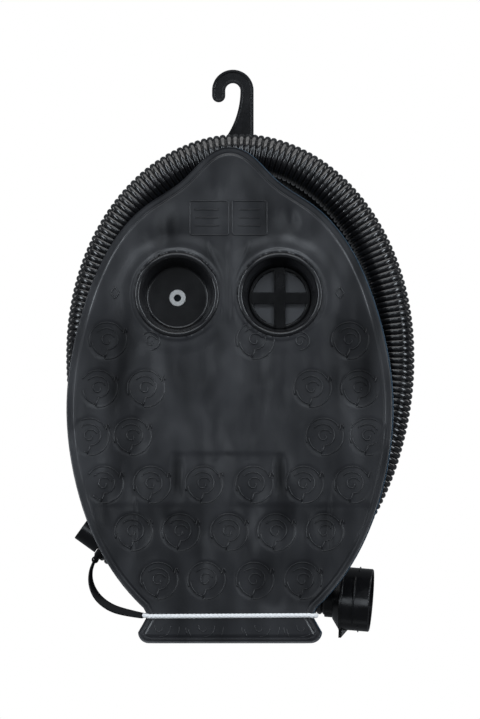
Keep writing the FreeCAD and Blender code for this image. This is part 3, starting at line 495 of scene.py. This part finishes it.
# plain diamonds beside the wells
MARKS_X = (-117.7, 107.0)
MARKS_Z = -215.5
MARK_TALL = 6.0
MARK_WIDE = 4.2
# the two frames above the wells, and the plain bars in them
FRAMES_X = ((-42.7, -3.9), (-0.4, 34.3))
FRAMES_Z = (-157.5, -123.5)
FRAME_CORNER = 2.5
BARS_X = ((-38.0, -14.0), (6.0, 27.0))
BARS_Z = (-132.0, -140.0, -148.0)
# waves of the skin: height, width across, length down the mat, seed
WAVES = [(1.5, 27, 80, 3.1), (1.6, 44, 50, 8.4), (0.55, 13, 19, 5.7)]
TONE_WAVES = [(0.35, 30, 110, 12.3), (0.25, 14, 40, 17.9)]
# patches in pairs: middle between the two, distance from it, height, half sizes, sharpness, amount
HOLLOWS = [(-1.0, 122.0, -283, 25, 46, 4, -1.6), (MIDDLE_X, 51.2, -399.0, 5.5, 18, 3, -1.7),
           (-4, 78.0, -160, 13, 14, 2, -1.2)]
# painted shade: darker patches of the skin's colour over the stamped hollows and creases
PAINTED_SHADE_PATCHES = [(-1.0, 122.0, -283, 25, 46, 4, -0.42), (MIDDLE_X, 51.2, -399.0, 5.5, 18, 3, -0.50),
                (-4, 58.0, -152, 15, 10, 2, -0.35), (MIDDLE_X, 22.0, -176, 13, 12, 2, -0.30),
                (-4, 76.0, -440, 40, 12, 4, -0.28)]
# the hollow above the tail: middle, half sizes, sharpness
LOW_HOLLOW = ((53.8, -503.5), 34, 30, 5)
TONE_LIMITS = (0.35, 1.4)


def cad_outline():
    """Half widths and heights down the right side of the mat's edge, from the CAD node."""
    ob = frame["nodes"]["floor_mat"]
    points = []
    for vertex in ob.data.vertices:
        x, y, z = (vertex.co / MM)
        clear = well_gap(x, z) > WELL_R + 4
        if abs(y - MAT_FRONT) < 0.05 and clear and x > MAT_X - 0.01:
            points.append((round(x - MAT_X, 3), round(z, 3)))
    points = sorted(set(points), key=lambda p: (-p[1], p[0]))
    return np.array(points)


def side_line(outline):
    """The right side from the tip to the tail's foot, evenly spaced."""
    foot = outline[:, 1].min()
    widest = max(i for i, z in enumerate(outline[:, 1]) if z > foot + 0.01)
    line = outline[:widest + 1]
    corner = max(line[-1][0] - TAIL_CORNER, 0)
    line = np.vstack([[0.0, line[0][1]], line, [corner, foot]])
    length = lengths_along(line)[-1]
    return at_lengths(line, np.linspace(0, length, int(length / MAT_CELL)))


def edge_distance(x, z, outline):
    """How far each place lies inside the mat's edge."""
    right = np.array([(MAT_X + half, height) for half, height in outline])
    left = np.array([(MAT_X - half, height) for half, height in outline])
    ring = np.vstack([right, left[::-1]])
    ring = np.vstack([ring, ring[:1]])
    starts = ring[:-1]
    steps = np.diff(ring, axis=0)
    square = np.maximum((steps ** 2).sum(axis=1), 1e-9)
    best = np.full(x.shape, 1e9)
    for (ax, az), (dx, dz), sq in zip(starts, steps, square):
        t = np.clip(((x - ax) * dx + (z - az) * dz) / sq, 0, 1)
        best = np.minimum(best, (x - ax - t * dx) ** 2 + (z - az - t * dz) ** 2)
    return np.sqrt(best)


def smooth(low, high, value):
    """A soft step from 0 at low to 1 at high."""
    t = np.clip((value - low) / (high - low), 0, 1)
    return t * t * (3 - 2 * t)


def hill(x, z, at, half_x, half_z, power):
    """A soft-edged patch, 1 in its middle."""
    return np.exp(-(np.abs((x - at[0]) / half_x) ** power + np.abs((z - at[1]) / half_z) ** power))


def crest(away, half):
    """A soft ridge, 1 where away is 0."""
    return np.exp(-(away / half) ** 2)


def cloudy(x, z, waves):
    """Seeded smooth noise over the mat, the sum of some waves."""
    total = np.zeros(x.shape)
    for height, across, along, seed in waves:
        flat = [noise.noise(Vector((a / across + seed, b / along - seed, seed)))
                for a, b in zip(x.ravel(), z.ravel())]
        total += height * np.array(flat).reshape(x.shape)
    return total


def patches(x, z, table):
    """The sum of a table's patches, each on both sides of its middle."""
    total = np.zeros(x.shape)
    for middle, apart, height, half_x, half_z, power, amount in table:
        for side in (-1, 1):
            total += amount * hill(x, z, (middle + side * apart, height), half_x, half_z, power)
    return total


def relief(x, z, inside):
    """How far the stamped skin stands proud of its flat rim, in millimetres."""
    body = smooth(NECK_Z - 6, NECK_Z + 12, z)
    # the rim: its step, the groove outside it and its rolled edge
    step = smooth(RIM_WIDE - 0.3, RIM_WIDE + 1.3, inside)
    h = step - 0.4 * crest(inside - RIM_WIDE + 0.6, 0.7)
    h += 0.5 * (1 - smooth(0.3, 1.6, inside))
    h += cloudy(x, z, WAVES) * smooth(RIM_WIDE, RIM_WIDE + 22, inside) * (0.25 + 0.75 * body)
    # two soft collars and a fine bead round each well
    for well in (DRAIN_X, INLET_X):
        away = np.hypot(x - well, z - WELL_Z)
        h += (1 - smooth(WELL_R + 6, WELL_R + 9, away)) * step
        h += 0.7 * (1 - smooth(WELL_R + 13, WELL_R + 24, away)) * step
        h += 0.45 * crest(away - WELL_R - 6.5, 0.9)
    # three ribs between the wells, the outer two flaring upwards
    between = smooth(-250, -226, z) * (1 - smooth(-176, -160, z))
    flare = 5.5 + 15 * smooth(-215, -165, z) ** 1.5
    h += 0.8 * crest(x - MIDDLE_X, 1.8) * between
    h += patches(x, z, HOLLOWS)
    for side in (-1, 1):
        h += 0.9 * crest(x - MIDDLE_X - side * flare, 1.6) * between
        # an upright rib low on each side, and the shoulder that is raised on the left and sunk on the right
        h += crest(x + side * 97.0, 1.3) * hill(x, z, (x, -445), 1, 24, 4)
        h -= side * 1.7 * hill(x, z, (side * 61.0 - 4, -142), 9, 13, 2)
    # the wide sunk band, with its break in the middle, and the panel above it
    across = smooth(-140, -128, x) * (1 - smooth(133, 142, x))
    split = 1 - 0.75 * hill(x, z, (-20, -427), 26, 40, 4)
    h -= 0.6 * across * split * (1 - smooth(-431.0, -423.0, z)) * smooth(-470, -434, z)
    panel = smooth(-63, -57, x) * (1 - smooth(47, 54, x))
    h -= 0.6 * panel * (1 - smooth(-379.5, -372.5, z)) * smooth(-398, -381, z)
    h -= hill(x, z, *LOW_HOLLOW) * body
    # a shallow dish under each swirl, and the tail's raised middle
    for row, places in SWIRL_ROWS:
        for place in places:
            away = np.hypot(x - place, z - row)
            h -= 0.4 * (1 - smooth(SWIRL_R - 1.5, SWIRL_R + 2.0, away))
    h += 0.5 * (1 - body) * smooth(2.5, 4.5, inside)
    return np.where(h > 0, MAT_PROUD * np.tanh(h / MAT_PROUD), h)


def tone_and_painted_shade(x, z):
    """How light the skin looks from place to place: painted shade that darkens the stamped hollows and
    creases, a lighter patch in the middle, and random waves of colour.
    """
    t = 1.0 + cloudy(x, z, TONE_WAVES) + patches(x, z, PAINTED_SHADE_PATCHES)
    # painted shade in the hollow above the tail
    t -= 0.38 * hill(x, z, *LOW_HOLLOW)
    t += 0.15 * hill(x, z, (MIDDLE_X, -345), 60, 40, 3)
    return np.clip(t, *TONE_LIMITS)


def well_gap(x, z):
    """The distance to the nearer well's middle."""
    return min(math.hypot(x - well, z - WELL_Z) for well in (DRAIN_X, INLET_X))


def mat_sheet(outline):
    """The stamped sheet: a fine front, an edge all round and a plain back, with two round holes."""
    side = side_line(outline)
    columns = 2 * int(outline[:, 0].max() / MAT_CELL) + 1
    across = np.linspace(-1, 1, columns)
    x = MAT_X + side[:, :1] * across[None, :]
    z = np.repeat(side[:, 1:], columns, axis=1)
    hole = WELL_R + LIP_WIDE
    for well in (DRAIN_X, INLET_X):
        away = np.hypot(x - well, z - WELL_Z)
        near = np.abs(away - hole) < MAT_CELL * 0.75
        pull = np.where(near, hole / np.maximum(away, 1e-6), 1.0)
        x = well + (x - well) * pull
        z = WELL_Z + (z - WELL_Z) * pull
    inside = edge_distance(x, z, outline)
    proud = relief(x, z, inside)
    rows = len(side)
    front = np.stack([x, MAT_FRONT - proud, z], axis=-1).reshape(-1, 3) * MM
    faces = sheet_faces(front, rows, columns, hole)
    picked_rows = list(range(0, rows - 1, BACK_STEP)) + [rows - 1]
    picked_columns = list(range(0, columns - 1, BACK_STEP)) + [columns - 1]
    back = np.stack([x, np.full(x.shape, MAT_FRONT + MAT_THICK), z], axis=-1)
    back = back[picked_rows][:, picked_columns].reshape(-1, 3) * MM
    start = len(front)
    for a, b, c, d in sheet_faces(back, len(picked_rows), len(picked_columns), hole):
        faces.append((start + d, start + c, start + b, start + a))
    edge = [i * columns for i in range(rows)] + [(rows - 1) * columns + k for k in range(1, columns)]
    edge += [i * columns + columns - 1 for i in range(rows - 2, -1, -1)]
    edge += [k for k in range(columns - 2, 0, -1)]
    wall_start = start + len(back)
    wall = front[edge].copy()
    wall[:, 1] = (MAT_FRONT + MAT_THICK) * MM
    count = len(edge)
    for i in range(count):
        n = (i + 1) % count
        faces.append((edge[i], edge[n], wall_start + n, wall_start + i))
    return np.vstack([front, back, wall]), faces


def sheet_faces(points, rows, columns, hole):
    """Quads between the rows, leaving the two wells open."""
    faces = []
    for i in range(rows - 1):
        for k in range(columns - 1):
            a = i * columns + k
            quad = (a, a + columns, a + columns + 1, a + 1)
            mid = points[list(quad)].mean(axis=0) / MM
            if well_gap(mid[0], mid[2]) > hole - 0.2:
                faces.append(quad)
    return faces


def lathe_cup(outline, well):
    """A cup: its rounded rim, tapering wall and dropped floor, with the wall's thickness behind."""
    hole_r = EYELET_R if well == DRAIN_X else OPENING_R
    under = WELL_DEPTH + WELL_WALL
    # radius, depth behind the mat's face, share of the floor's drop, share of the mat's relief
    inner = [(WELL_R + LIP_WIDE + 0.6, 0.4, 0, 1)]
    for angle in np.radians(LIP_ANGLES):
        lip_r = WELL_R + LIP_OUT + LIP_ROUND * math.cos(angle)
        inner.append((lip_r, 0.2 - LIP_ROUND * math.sin(angle), 0, 1))
    inner += [(WELL_R - 0.9, 1.0, 0.03, 0.5), (WALL_TOP_R, WALL_TOP, 0.08, 0.3)]
    wall = [(WALL_TOP_R - (WALL_TOP_R - WELL_FLOOR_R) * t, WALL_TOP + (WELL_DEPTH - WALL_TOP - 2) * t,
             0.08 + 0.85 * t, 0) for t in WALL_SHARES]
    floor = [(WELL_FLOOR_R - 0.7, WELL_DEPTH - 0.7, 0.98, 0), (WELL_FLOOR_R - 2.2, WELL_DEPTH, 1, 0),
             (WELL_FLOOR_R - 2.8, WELL_DEPTH, 1, 0), (hole_r + 0.5, WELL_DEPTH, 1, 0),
             (hole_r, WELL_DEPTH, 1, 0), (hole_r, WELL_DEPTH + 0.4, 1, 0), (hole_r, under, 1, 0),
             (WELL_FLOOR_R + 1, under, 1, 0)]
    outer = [(WELL_R + 1.4, 3.5, 0.06, 0), (WELL_R + LIP_WIDE + 0.5, 2.4, 0, 0)]
    rings = inner + wall + floor + outer
    angles = np.linspace(0, 2 * math.pi, CUP_SIDES, endpoint=False)
    verts = []
    for r, depth, drop, with_relief in rings:
        x = well + r * np.cos(angles)
        z = WELL_Z - WELL_FLOOR_DROP * drop + r * np.sin(angles)
        lift = relief(x, z, edge_distance(x, z, outline)) * with_relief
        verts.append(np.stack([x, MAT_FRONT + depth - lift, z], axis=-1))
    return np.concatenate(verts) * MM, turned_faces(len(rings), CUP_SIDES)


def ridge(points, outline, half=RIDGE_HALF, proud=RIDGE_PROUD):
    """A thin raised line along points of the mat, half round across."""
    points = np.array(points, float)
    along = np.gradient(points, axis=0)
    along /= np.maximum(np.linalg.norm(along, axis=1), 1e-9)[:, None]
    side = np.stack([along[:, 1], -along[:, 0]], axis=1)
    verts = []
    for offset, height in RIDGE_SECTION:
        at = points + side * half * offset
        base = relief(at[:, 0], at[:, 1], edge_distance(at[:, 0], at[:, 1], outline))
        verts.append(np.stack([at[:, 0], MAT_FRONT - base - proud * height, at[:, 1]], axis=-1))
    verts = np.stack(verts, axis=1).reshape(-1, 3) * MM
    lines = len(RIDGE_SECTION)
    faces = []
    for i in range(len(points) - 1):
        for k in range(lines - 1):
            a = i * lines + k
            faces.append((a, a + 1, a + lines + 1, a + lines))
    last = (len(points) - 1) * lines
    faces.append(tuple(range(lines - 1, -1, -1)))
    faces.append(tuple(range(last, last + lines)))
    return verts, faces


def arc(x, z, r0, r1, first, last):
    """Points on an arc or a spiral, with the angles in degrees."""
    count = max(int(abs(last - first) / 7), 3)
    angles = np.radians(np.linspace(first, last, count))
    radii = np.linspace(r0, r1, count)
    return np.stack([x + radii * np.cos(angles), z + radii * np.sin(angles)], axis=1)


def swirl_lines(x, z):
    """One swirl: an outer arc with an arrow at its end, an inner spiral and a spoke."""
    return [arc(x, z, 18.2, 17.4, 202, 30),
            [(x + a, z + b) for a, b in ARROW],
            arc(x, z, 19.4, 19.0, 18, -98),
            arc(x, z, 15.4, 16.2, 186, 258),
            arc(x, z, 12.6, 9.2, 140, -92),
            arc(x, z, 3.6, 7.4, 300, 20),
            arc(x, z, 1.6, 4.4, 20, -130),
            [(x + a, z + b) for a, b in SPOKE]]


def frame_lines(x0, x1, z0, z1):
    """A plain rounded rectangle."""
    points = []
    corner = FRAME_CORNER
    for cx, cz, first in ((x1 - corner, z1 - corner, 90), (x1 - corner, z0 + corner, 0),
                          (x0 + corner, z0 + corner, -90), (x0 + corner, z1 - corner, -180)):
        points.append(arc(cx, cz, corner, corner, first, first - 90))
    loop = np.vstack(points)
    return even(np.vstack([loop, loop[:1]]), 1.6)


def even(points, gap):
    """Points about a gap apart along a line through the given ones."""
    points = np.array(points, float)
    length = lengths_along(points)[-1]
    return at_lengths(points, np.linspace(0, length, max(int(length / gap), 3)))


def kept_runs(line, keep):
    """The stretches of a line where keep is true."""
    edges = np.flatnonzero(np.diff(keep.astype(int))) + 1
    pairs = zip(np.split(line, edges), np.split(keep, edges))
    return [part for part, kept in pairs if kept[0] and len(part) > 1]


def mat_lines(outline):
    """All raised lines of the mat's body."""
    lines = []
    for row, places in SWIRL_ROWS:
        for place in places:
            for line in swirl_lines(place, row):
                line = np.array(line)
                half = np.interp(-line[:, 1], -outline[:, 1], outline[:, 0])
                keep = np.abs(line[:, 0] - MAT_X) < half - SWIRL_MARGIN
                keep &= np.hypot(line[:, 0] - INLET_X, line[:, 1] - WELL_Z) > WELL_R + LIP_WIDE + 2
                lines += kept_runs(line, keep)
    for x, z in SMALL_SWIRLS:
        lines += [arc(x, z, 10.0, 8.2, 140, -92), arc(x, z, 3.2, 6.2, 300, 20),
                  arc(x, z, 1.4, 3.8, 20, -130)]
    lines += [frame_lines(*sides, *FRAMES_Z) for sides in FRAMES_X]
    lines += [even([(x0, height), (x1, height)], 1.5) for height in BARS_Z for x0, x1 in BARS_X]
    for x in MARKS_X:
        top = (x, MARKS_Z + MARK_TALL)
        lines.append(even([top, (x + MARK_WIDE, MARKS_Z), (x, MARKS_Z - MARK_TALL), (x - MARK_WIDE, MARKS_Z),
                           top], 1.2))
    return lines


def tail_lines():
    """The tail's border and the cut-off swirls inside it."""
    low = TAIL_BOTTOM + 4.0
    half_border = [(80, NECK_Z - 9), (86, NECK_Z - 15), (84, low + 3), (78, low)]
    border = [(MAT_X - half, z) for half, z in half_border]
    border += [(MAT_X + half, z) for half, z in reversed(half_border)]
    lines = [even(border, 2.0)]
    for x in TAIL_SWIRLS_X:
        for line in swirl_lines(x, TAIL_SWIRL_Z):
            line = np.array(line)
            keep = (line[:, 1] < NECK_Z - 9.5) & (line[:, 1] > low + 1.2)
            keep &= np.abs(line[:, 0] - MAT_X) < 80
            lines += kept_runs(line, keep)
    return lines


def mat_material():
    """Black stamped vinyl: satin, with cloudy gloss and faint flow marks down its length."""
    made, tree, shader = material("black_skin")
    clouds = noise_node(tree, 16, 5, stretch=(1, 1, 0.35))
    fine = noise_node(tree, 650, 3)
    broad = noise_node(tree, 60, 4)
    colour = colour_mix(tree, clouds.outputs["Fac"], (0.0085, 0.0088, 0.0105), (0.0125, 0.0130, 0.0155))
    # painted shade: the base colour is scaled by the attribute that darkens the stamped hollows, along with
    # random colour waves
    stamped = tree.nodes.new("ShaderNodeAttribute")
    stamped.attribute_name = "tone_and_painted_shade"
    shaded = tree.nodes.new("ShaderNodeVectorMath")
    shaded.operation = "SCALE"
    tree.links.new(colour, shaded.inputs[0])
    tree.links.new(stamped.outputs["Fac"], shaded.inputs["Scale"])
    tree.links.new(shaded.outputs["Vector"], shader.inputs["Base Color"])
    tree.links.new(ramp(tree, clouds.outputs["Fac"], 0.28, 0.38), shader.inputs["Roughness"])
    # the painted-shade hollows also get a lower specular level
    shine_with_painted_shade = ramp(tree, stamped.outputs["Fac"], 0.20, 0.72, 0.4, 1.3)
    tree.links.new(shine_with_painted_shade, shader.inputs["Specular IOR Level"])
    first = bump(tree, broad.outputs["Fac"], shader, 0.0003, 0.5)
    second = bump(tree, fine.outputs["Fac"], shader, 0.00004, 0.6)
    tree.links.new(first.outputs["Normal"], second.inputs["Normal"])
    return made


def cup_material():
    """Glossy black moulding."""
    if "cup_gloss" in bpy.data.materials:
        return bpy.data.materials["cup_gloss"]
    return plastic("cup_gloss", (0.006, 0.006, 0.007), (0.010, 0.010, 0.011), (0.16, 0.24), 500,
                   0.00002, 40)


def joined(parts):
    """One vertex array and face list from several."""
    verts, faces = [], []
    for part_verts, part_faces in parts:
        start = sum(len(v) for v in verts)
        verts.append(np.asarray(part_verts))
        faces += [tuple(start + i for i in face) for face in part_faces]
    return np.concatenate(verts), faces


def add_mat():
    outline = cad_outline()
    parts = [mat_sheet(outline)]
    parts += [ridge(line, outline) for line in mat_lines(outline)]
    parts += [ridge(line, outline, TAIL_RIDGE_HALF, TAIL_RIDGE_PROUD) for line in tail_lines()]
    verts, faces = joined(parts)
    mat = new_object("floor_mat_skin", verts, faces)
    # painted shade of the stamped hollows, with the random colour waves, stored on each vertex
    shade = mat.data.attributes.new("tone_and_painted_shade", "FLOAT", "POINT")
    shade.data.foreach_set("value", tone_and_painted_shade(verts[:, 0] / MM, verts[:, 2] / MM).astype(np.float32))
    mat.data.materials.append(mat_material())
    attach(mat, "cleaner")
    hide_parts("floor_mat")
    for name, well in (("drain_cup", DRAIN_X), ("inlet_cup", INLET_X)):
        verts, faces = lathe_cup(outline, well)
        cup = new_object(name + "_shell", verts, faces)
        cup.data.materials.append(cup_material())
        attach(cup, "cleaner")
        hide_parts(name)


# ---------------------------------------------------------------- neck cord
CORD_R = 2.3
CORD_GAP = 1.3
COVER_SHIFT = 1.2
NECK_HALF = 82.0
RIM_BACK = -66.5
BRAID_PITCH = 8.5
BRAID_STRANDS = 4
BRAID_SIDES = 24
BRAID_STEP = 0.55
STRAIGHT_ENDS = 0.98
FRONT_POINTS = 60
BACK_POINTS = 30
BEND_POINTS = 12
KNOT_AT = (MAT_X + 6.0, RIM_BACK + 4.4, NECK_Z - 4.2)
KNOT_HALF = (2.5, 1.2, 1.9)
KNOT_LOBES = 1.25
KNOT_CORD_R = 1.25
END_CORD_R = 1.5
THIN_SIDES = 12


def neck_route():
    """Once round the neck, from the middle of the back to the middle of the back, in millimetres."""
    front = MAT_FRONT - CORD_R
    back = RIM_BACK + CORD_R
    bend = (back - front) / 2
    middle = (back + front) / 2
    half = NECK_HALF + COVER_SHIFT + CORD_R + CORD_GAP - bend
    route = [(MAT_X + t * half, back, NECK_Z) for t in np.linspace(0.02, STRAIGHT_ENDS, BACK_POINTS)]
    for angle in np.linspace(math.pi / 2, -math.pi / 2, BEND_POINTS):
        route.append((MAT_X + half + bend * math.cos(angle), middle + bend * math.sin(angle), NECK_Z))
    route += [(MAT_X + t * half, front - 0.15, NECK_Z + 0.5 * t)
              for t in np.linspace(STRAIGHT_ENDS, -STRAIGHT_ENDS, FRONT_POINTS)]
    for angle in np.linspace(-math.pi / 2, -3 * math.pi / 2, BEND_POINTS):
        route.append((MAT_X - half + bend * math.cos(angle), middle + bend * math.sin(angle), NECK_Z))
    route += [(MAT_X + t * half, back, NECK_Z) for t in np.linspace(-STRAIGHT_ENDS, -0.02, BACK_POINTS)]
    return np.array(route) * MM


def braided_tube(name, line, radius, sides=BRAID_SIDES):
    """A cord whose strands cross in two opposite helices."""
    angles, rings = rings_along(line, (0, 0, 1), sides)
    along = lengths_along(line) / MM
    twist = 2 * math.pi * along[:, None] / BRAID_PITCH * 2
    one = np.cos(BRAID_STRANDS * angles[None, :] + twist)
    other = np.cos(BRAID_STRANDS * angles[None, :] - twist)
    swell = radius * (0.90 + 0.10 * np.maximum(one, other))
    verts = (line[:, None] + swell[:, :, None] * rings).reshape(-1, 3)
    return new_object(name, verts, capped_faces(len(line), sides))


def add_neck_cord():
    line = curve_line("neck_line", [Vector(p) for p in neck_route()])
    length = line_length(line)
    line = spaced(line, int(length / MM / BRAID_STEP))
    cord = braided_tube("neck_cord_braid", line, CORD_R * MM)
    cord.data.materials.append(cord_material())
    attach(cord, "cleaner")
    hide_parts("neck_cord")
    knot = add_knot()


def add_knot():
    """The overhand knot that closes the neck cord behind, with two short ends."""
    x, y, z = KNOT_AT
    half_x, half_y, half_z = KNOT_HALF
    turns = np.linspace(0, 2 * math.pi, 64)
    trefoil = [(x + half_x * (math.sin(t) + KNOT_LOBES * math.sin(2 * t)), y + half_y * math.sin(3 * t),
                z + half_z * (math.cos(t) - KNOT_LOBES * math.cos(2 * t))) for t in turns]
    knot = braided_tube("cord_knot", np.array(trefoil) * MM, KNOT_CORD_R * MM, THIN_SIDES)
    ends = []
    for way in (-1, 1):
        end = [(x + way * 2, y, z - 3), (x + way * 4, y + 0.8, z - 8), (x + way * 7.5, y + 0.4, z - 15)]
        line = spaced(curve_line("end_line", [Vector(p) * MM for p in end]), 26)
        ends.append(braided_tube("cord_end", line, END_CORD_R * MM, THIN_SIDES))
    return merged(knot, ends, cord_material())


def merged(first, others, skin):
    """Joins several new objects into the first, with one material."""
    mesh = bmesh.new()
    for ob in [first] + others:
        mesh.from_mesh(ob.data)
    mesh.to_mesh(first.data)
    mesh.free()
    for ob in others:
        bpy.data.objects.remove(ob)
    first.data.polygons.foreach_set("use_smooth", [True] * len(first.data.polygons))
    first.data.materials.append(skin)
    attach(first, "cleaner")
    return first


def cord_material():
    """White braided polyester."""
    if "white_braid" in bpy.data.materials:
        return bpy.data.materials["white_braid"]
    made, tree, shader = material("white_braid")
    threads = noise_node(tree, 2600, 3)
    tree.links.new(colour_mix(tree, threads.outputs["Fac"], (0.70, 0.70, 0.70), (0.90, 0.90, 0.90)),
                   shader.inputs["Base Color"])
    shader.inputs["Roughness"].default_value = 0.7
    shader.inputs["Sheen Weight"].default_value = 0.3
    bump(tree, threads.outputs["Fac"], shader, 0.0001, 0.6)
    return made


# ---------------------------------------------------------------- storage strap
STRAP_THICK = 2.3
STRAP_WIDE = 8.2
STRAP_POINTS = 140
STRAP_SIDES = 16
STRAP_SQUARE = 0.6
# the tail's turn in degrees: at its start, how much it gains, and how far through that wave it ends
TWIST_START = 12
TWIST_GAIN = 62
TWIST_SHARE = 0.72
EYE_R = 2.6
EYE_WIRE_R = 1.0
EYE_DROP = 1.6
EYE_POINTS = 33
EYE_SIDES = 10
BAND_SIDES = 96
BAND_R = 19.0
BAND_THICK = 2.4
BAND_WIDE = 6.5
BAND_AT = HOSE_START + CUFF_AXIS * 1.2
BAND_UNDER = np.array([-math.sin(math.radians(CUFF_SLOPE)), 0, -math.cos(math.radians(CUFF_SLOPE))])
STRAP_START = BAND_AT + CUFF_AXIS * (BAND_WIDE / 2) + BAND_UNDER * (BAND_R + BAND_THICK / 2)
CORD_SIDE = MAT_X - NECK_HALF - COVER_SHIFT - CORD_GAP - 2 * CORD_R
STRAP_ROUTE = [tuple(STRAP_START), (-142.4, -47.0, -490.0), (-143.6, -51.0, -505.0),
               (-137.5, -56.0, -519.5), (-125.5, -61.0, -529.5), (-110.5, -65.5, -535.0),
               (CORD_SIDE + 3.0, MAT_FRONT - 1.0, NECK_Z)]


def add_strap():
    """The strap's flat tail, which twists on its way from the band to the cord."""
    line = curve_line("strap_line", [Vector(p) * MM for p in STRAP_ROUTE])
    line = spaced(line, STRAP_POINTS)
    side, over = frames_along(line, np.array([0.0, 1.0, 0.0]))
    share = np.linspace(0, 1, len(line))
    turn = np.radians(TWIST_START + TWIST_GAIN * np.sin(math.pi * share * TWIST_SHARE) ** 2)
    wide = STRAP_WIDE / 2 * (0.8 + 0.25 * np.sin(math.pi * share)) * MM
    outline = []
    for k in range(STRAP_SIDES):
        angle = 2 * math.pi * k / STRAP_SIDES
        outline.append((math.copysign(abs(math.cos(angle)) ** STRAP_SQUARE, math.cos(angle)),
                        math.copysign(abs(math.sin(angle)) ** STRAP_SQUARE, math.sin(angle))))
    verts = []
    for a, b in outline:
        broad = a * wide[:, None] * (np.cos(turn)[:, None] * over + np.sin(turn)[:, None] * side)
        thin = b * STRAP_THICK / 2 * MM * (np.cos(turn)[:, None] * side - np.sin(turn)[:, None] * over)
        verts.append(line + broad + thin)
    verts = np.stack(verts, axis=1).reshape(-1, 3)
    strap = new_object("strap_tail", verts, capped_faces(len(line), STRAP_SIDES))
    strap.data.materials.append(strap_material())
    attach(strap, "cleaner")
    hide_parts("storage_strap")
    band = add_band()


def add_band():
    """The band round the hose, with an eye that the strap's tail hangs from."""
    # distance along the hose, and radius
    outer = BAND_R + BAND_THICK
    profile = [(0, BAND_R - 0.3), (0.2, outer - 0.6), (0.9, outer), (BAND_WIDE - 0.9, outer),
               (BAND_WIDE - 0.2, outer - 0.6), (BAND_WIDE, BAND_R - 0.3)]
    across = np.array([0.0, 1.0, 0.0])
    up = np.cross(across, CUFF_AXIS)
    verts = []
    for s, r in profile:
        for k in range(BAND_SIDES):
            angle = 2 * math.pi * k / BAND_SIDES
            around = math.cos(angle) * across + math.sin(angle) * up
            verts.append((BAND_AT + CUFF_AXIS * s + r * around) * MM)
    band = new_object("strap_band", verts, turned_faces(len(profile), BAND_SIDES))
    centre = STRAP_START + BAND_UNDER * EYE_DROP
    ring = [centre + EYE_R * (math.cos(t) * CUFF_AXIS + math.sin(t) * BAND_UNDER)
            for t in np.linspace(0, 2 * math.pi, EYE_POINTS)]
    eye = tube("strap_eye", np.array(ring) * MM, np.full(EYE_POINTS, EYE_WIRE_R * MM), EYE_SIDES)
    merged(band, [eye], strap_material())
    return band


def strap_material():
    """Soft black vinyl."""
    if "strap_skin" in bpy.data.materials:
        return bpy.data.materials["strap_skin"]
    return plastic("strap_skin", (0.003, 0.003, 0.0035), (0.006, 0.006, 0.0065), (0.45, 0.6),
                   cloud=60, specular=0.12)


# ---------------------------------------------------------------- finishes of the modelled parts
def rounded(made, radius):
    """Softens the look of a moulding's edges."""
    tree = made.node_tree
    shader = tree.nodes["Principled BSDF"]
    edge = tree.nodes.new("ShaderNodeBevel")
    edge.samples = 6
    edge.inputs["Radius"].default_value = radius
    link = shader.inputs["Normal"].links
    if link:
        tree.links.new(edge.outputs["Normal"], link[0].from_node.inputs["Normal"])
    else:
        tree.links.new(edge.outputs["Normal"], shader.inputs["Normal"])
    return made


def metal(name, colour, rough):
    made, tree, shader = material(name)
    clouds = noise_node(tree, 120, 4)
    shader.inputs["Base Color"].default_value = (*colour, 1)
    shader.inputs["Metallic"].default_value = 1.0
    cloudy_rough = ramp(tree, clouds.outputs["Fac"], rough - 0.06, rough + 0.08)
    tree.links.new(cloudy_rough, shader.inputs["Roughness"])
    return made


def finish_nodes():
    """One node material for each of the record's slots, put on every modelled part that is shown."""
    black = ((0.0035, 0.0035, 0.004), (0.0060, 0.0060, 0.0070))
    blue = ((0.008, 0.034, 0.062), (0.011, 0.042, 0.076))
    white = ((0.72, 0.72, 0.71), (0.80, 0.80, 0.79))
    foam = ((0.55, 0.55, 0.52), (0.68, 0.68, 0.65))
    moulding = plastic("black_moulding", *black, (0.2, 0.28), 600, 0.00002, 50, 0.32)
    skins = {
        "black_moulding": rounded(moulding, 0.0011),
        "black_skin": plastic("plain_skin", *black, (0.35, 0.45)),
        "blue_skin": rounded(plastic("blue_skin", *blue, (0.3, 0.42)), 0.001),
        "grey_moulding": plastic("grey_moulding", (0.070, 0.072, 0.078), (0.090, 0.092, 0.10), (0.35, 0.5)),
        "hose_plastic": plastic("plain_hose", *black, (0.2, 0.3)),
        "seal_rubber": plastic("seal_rubber", (0.008, 0.008, 0.008), (0.013, 0.013, 0.013), (0.6, 0.75)),
        "screw_steel": metal("screw_steel", (0.62, 0.62, 0.61), 0.3),
        "white_nylon": rounded(plastic("white_nylon", *white, (0.3, 0.45)), 0.0005),
        "float_foam": plastic("float_foam", *foam, (0.8, 0.9), 1500, 0.0002, 90),
        "weight_iron": metal("weight_iron", (0.14, 0.14, 0.14), 0.6),
        "strap_plastic": strap_material(),
        "white_cord": cord_material(),
    }
    for part in frame["record"]["subparts"]:
        ob = frame["nodes"][part["node"]]
        if not ob.hide_render:
            ob.data.materials.clear()
            ob.data.materials.append(skins[part["material_slot"]])


add_camera()
add_floor()
for light in LIGHTS:
    add_light(*light)
add_world()
hose = add_hose()
add_mat()
add_neck_cord()
add_strap()
finish_nodes()
lit_only("card_fittings", frame["nodes"]["hose_adapter"], frame["nodes"]["hose_cuff"])
lit_only("hose_crest", hose)
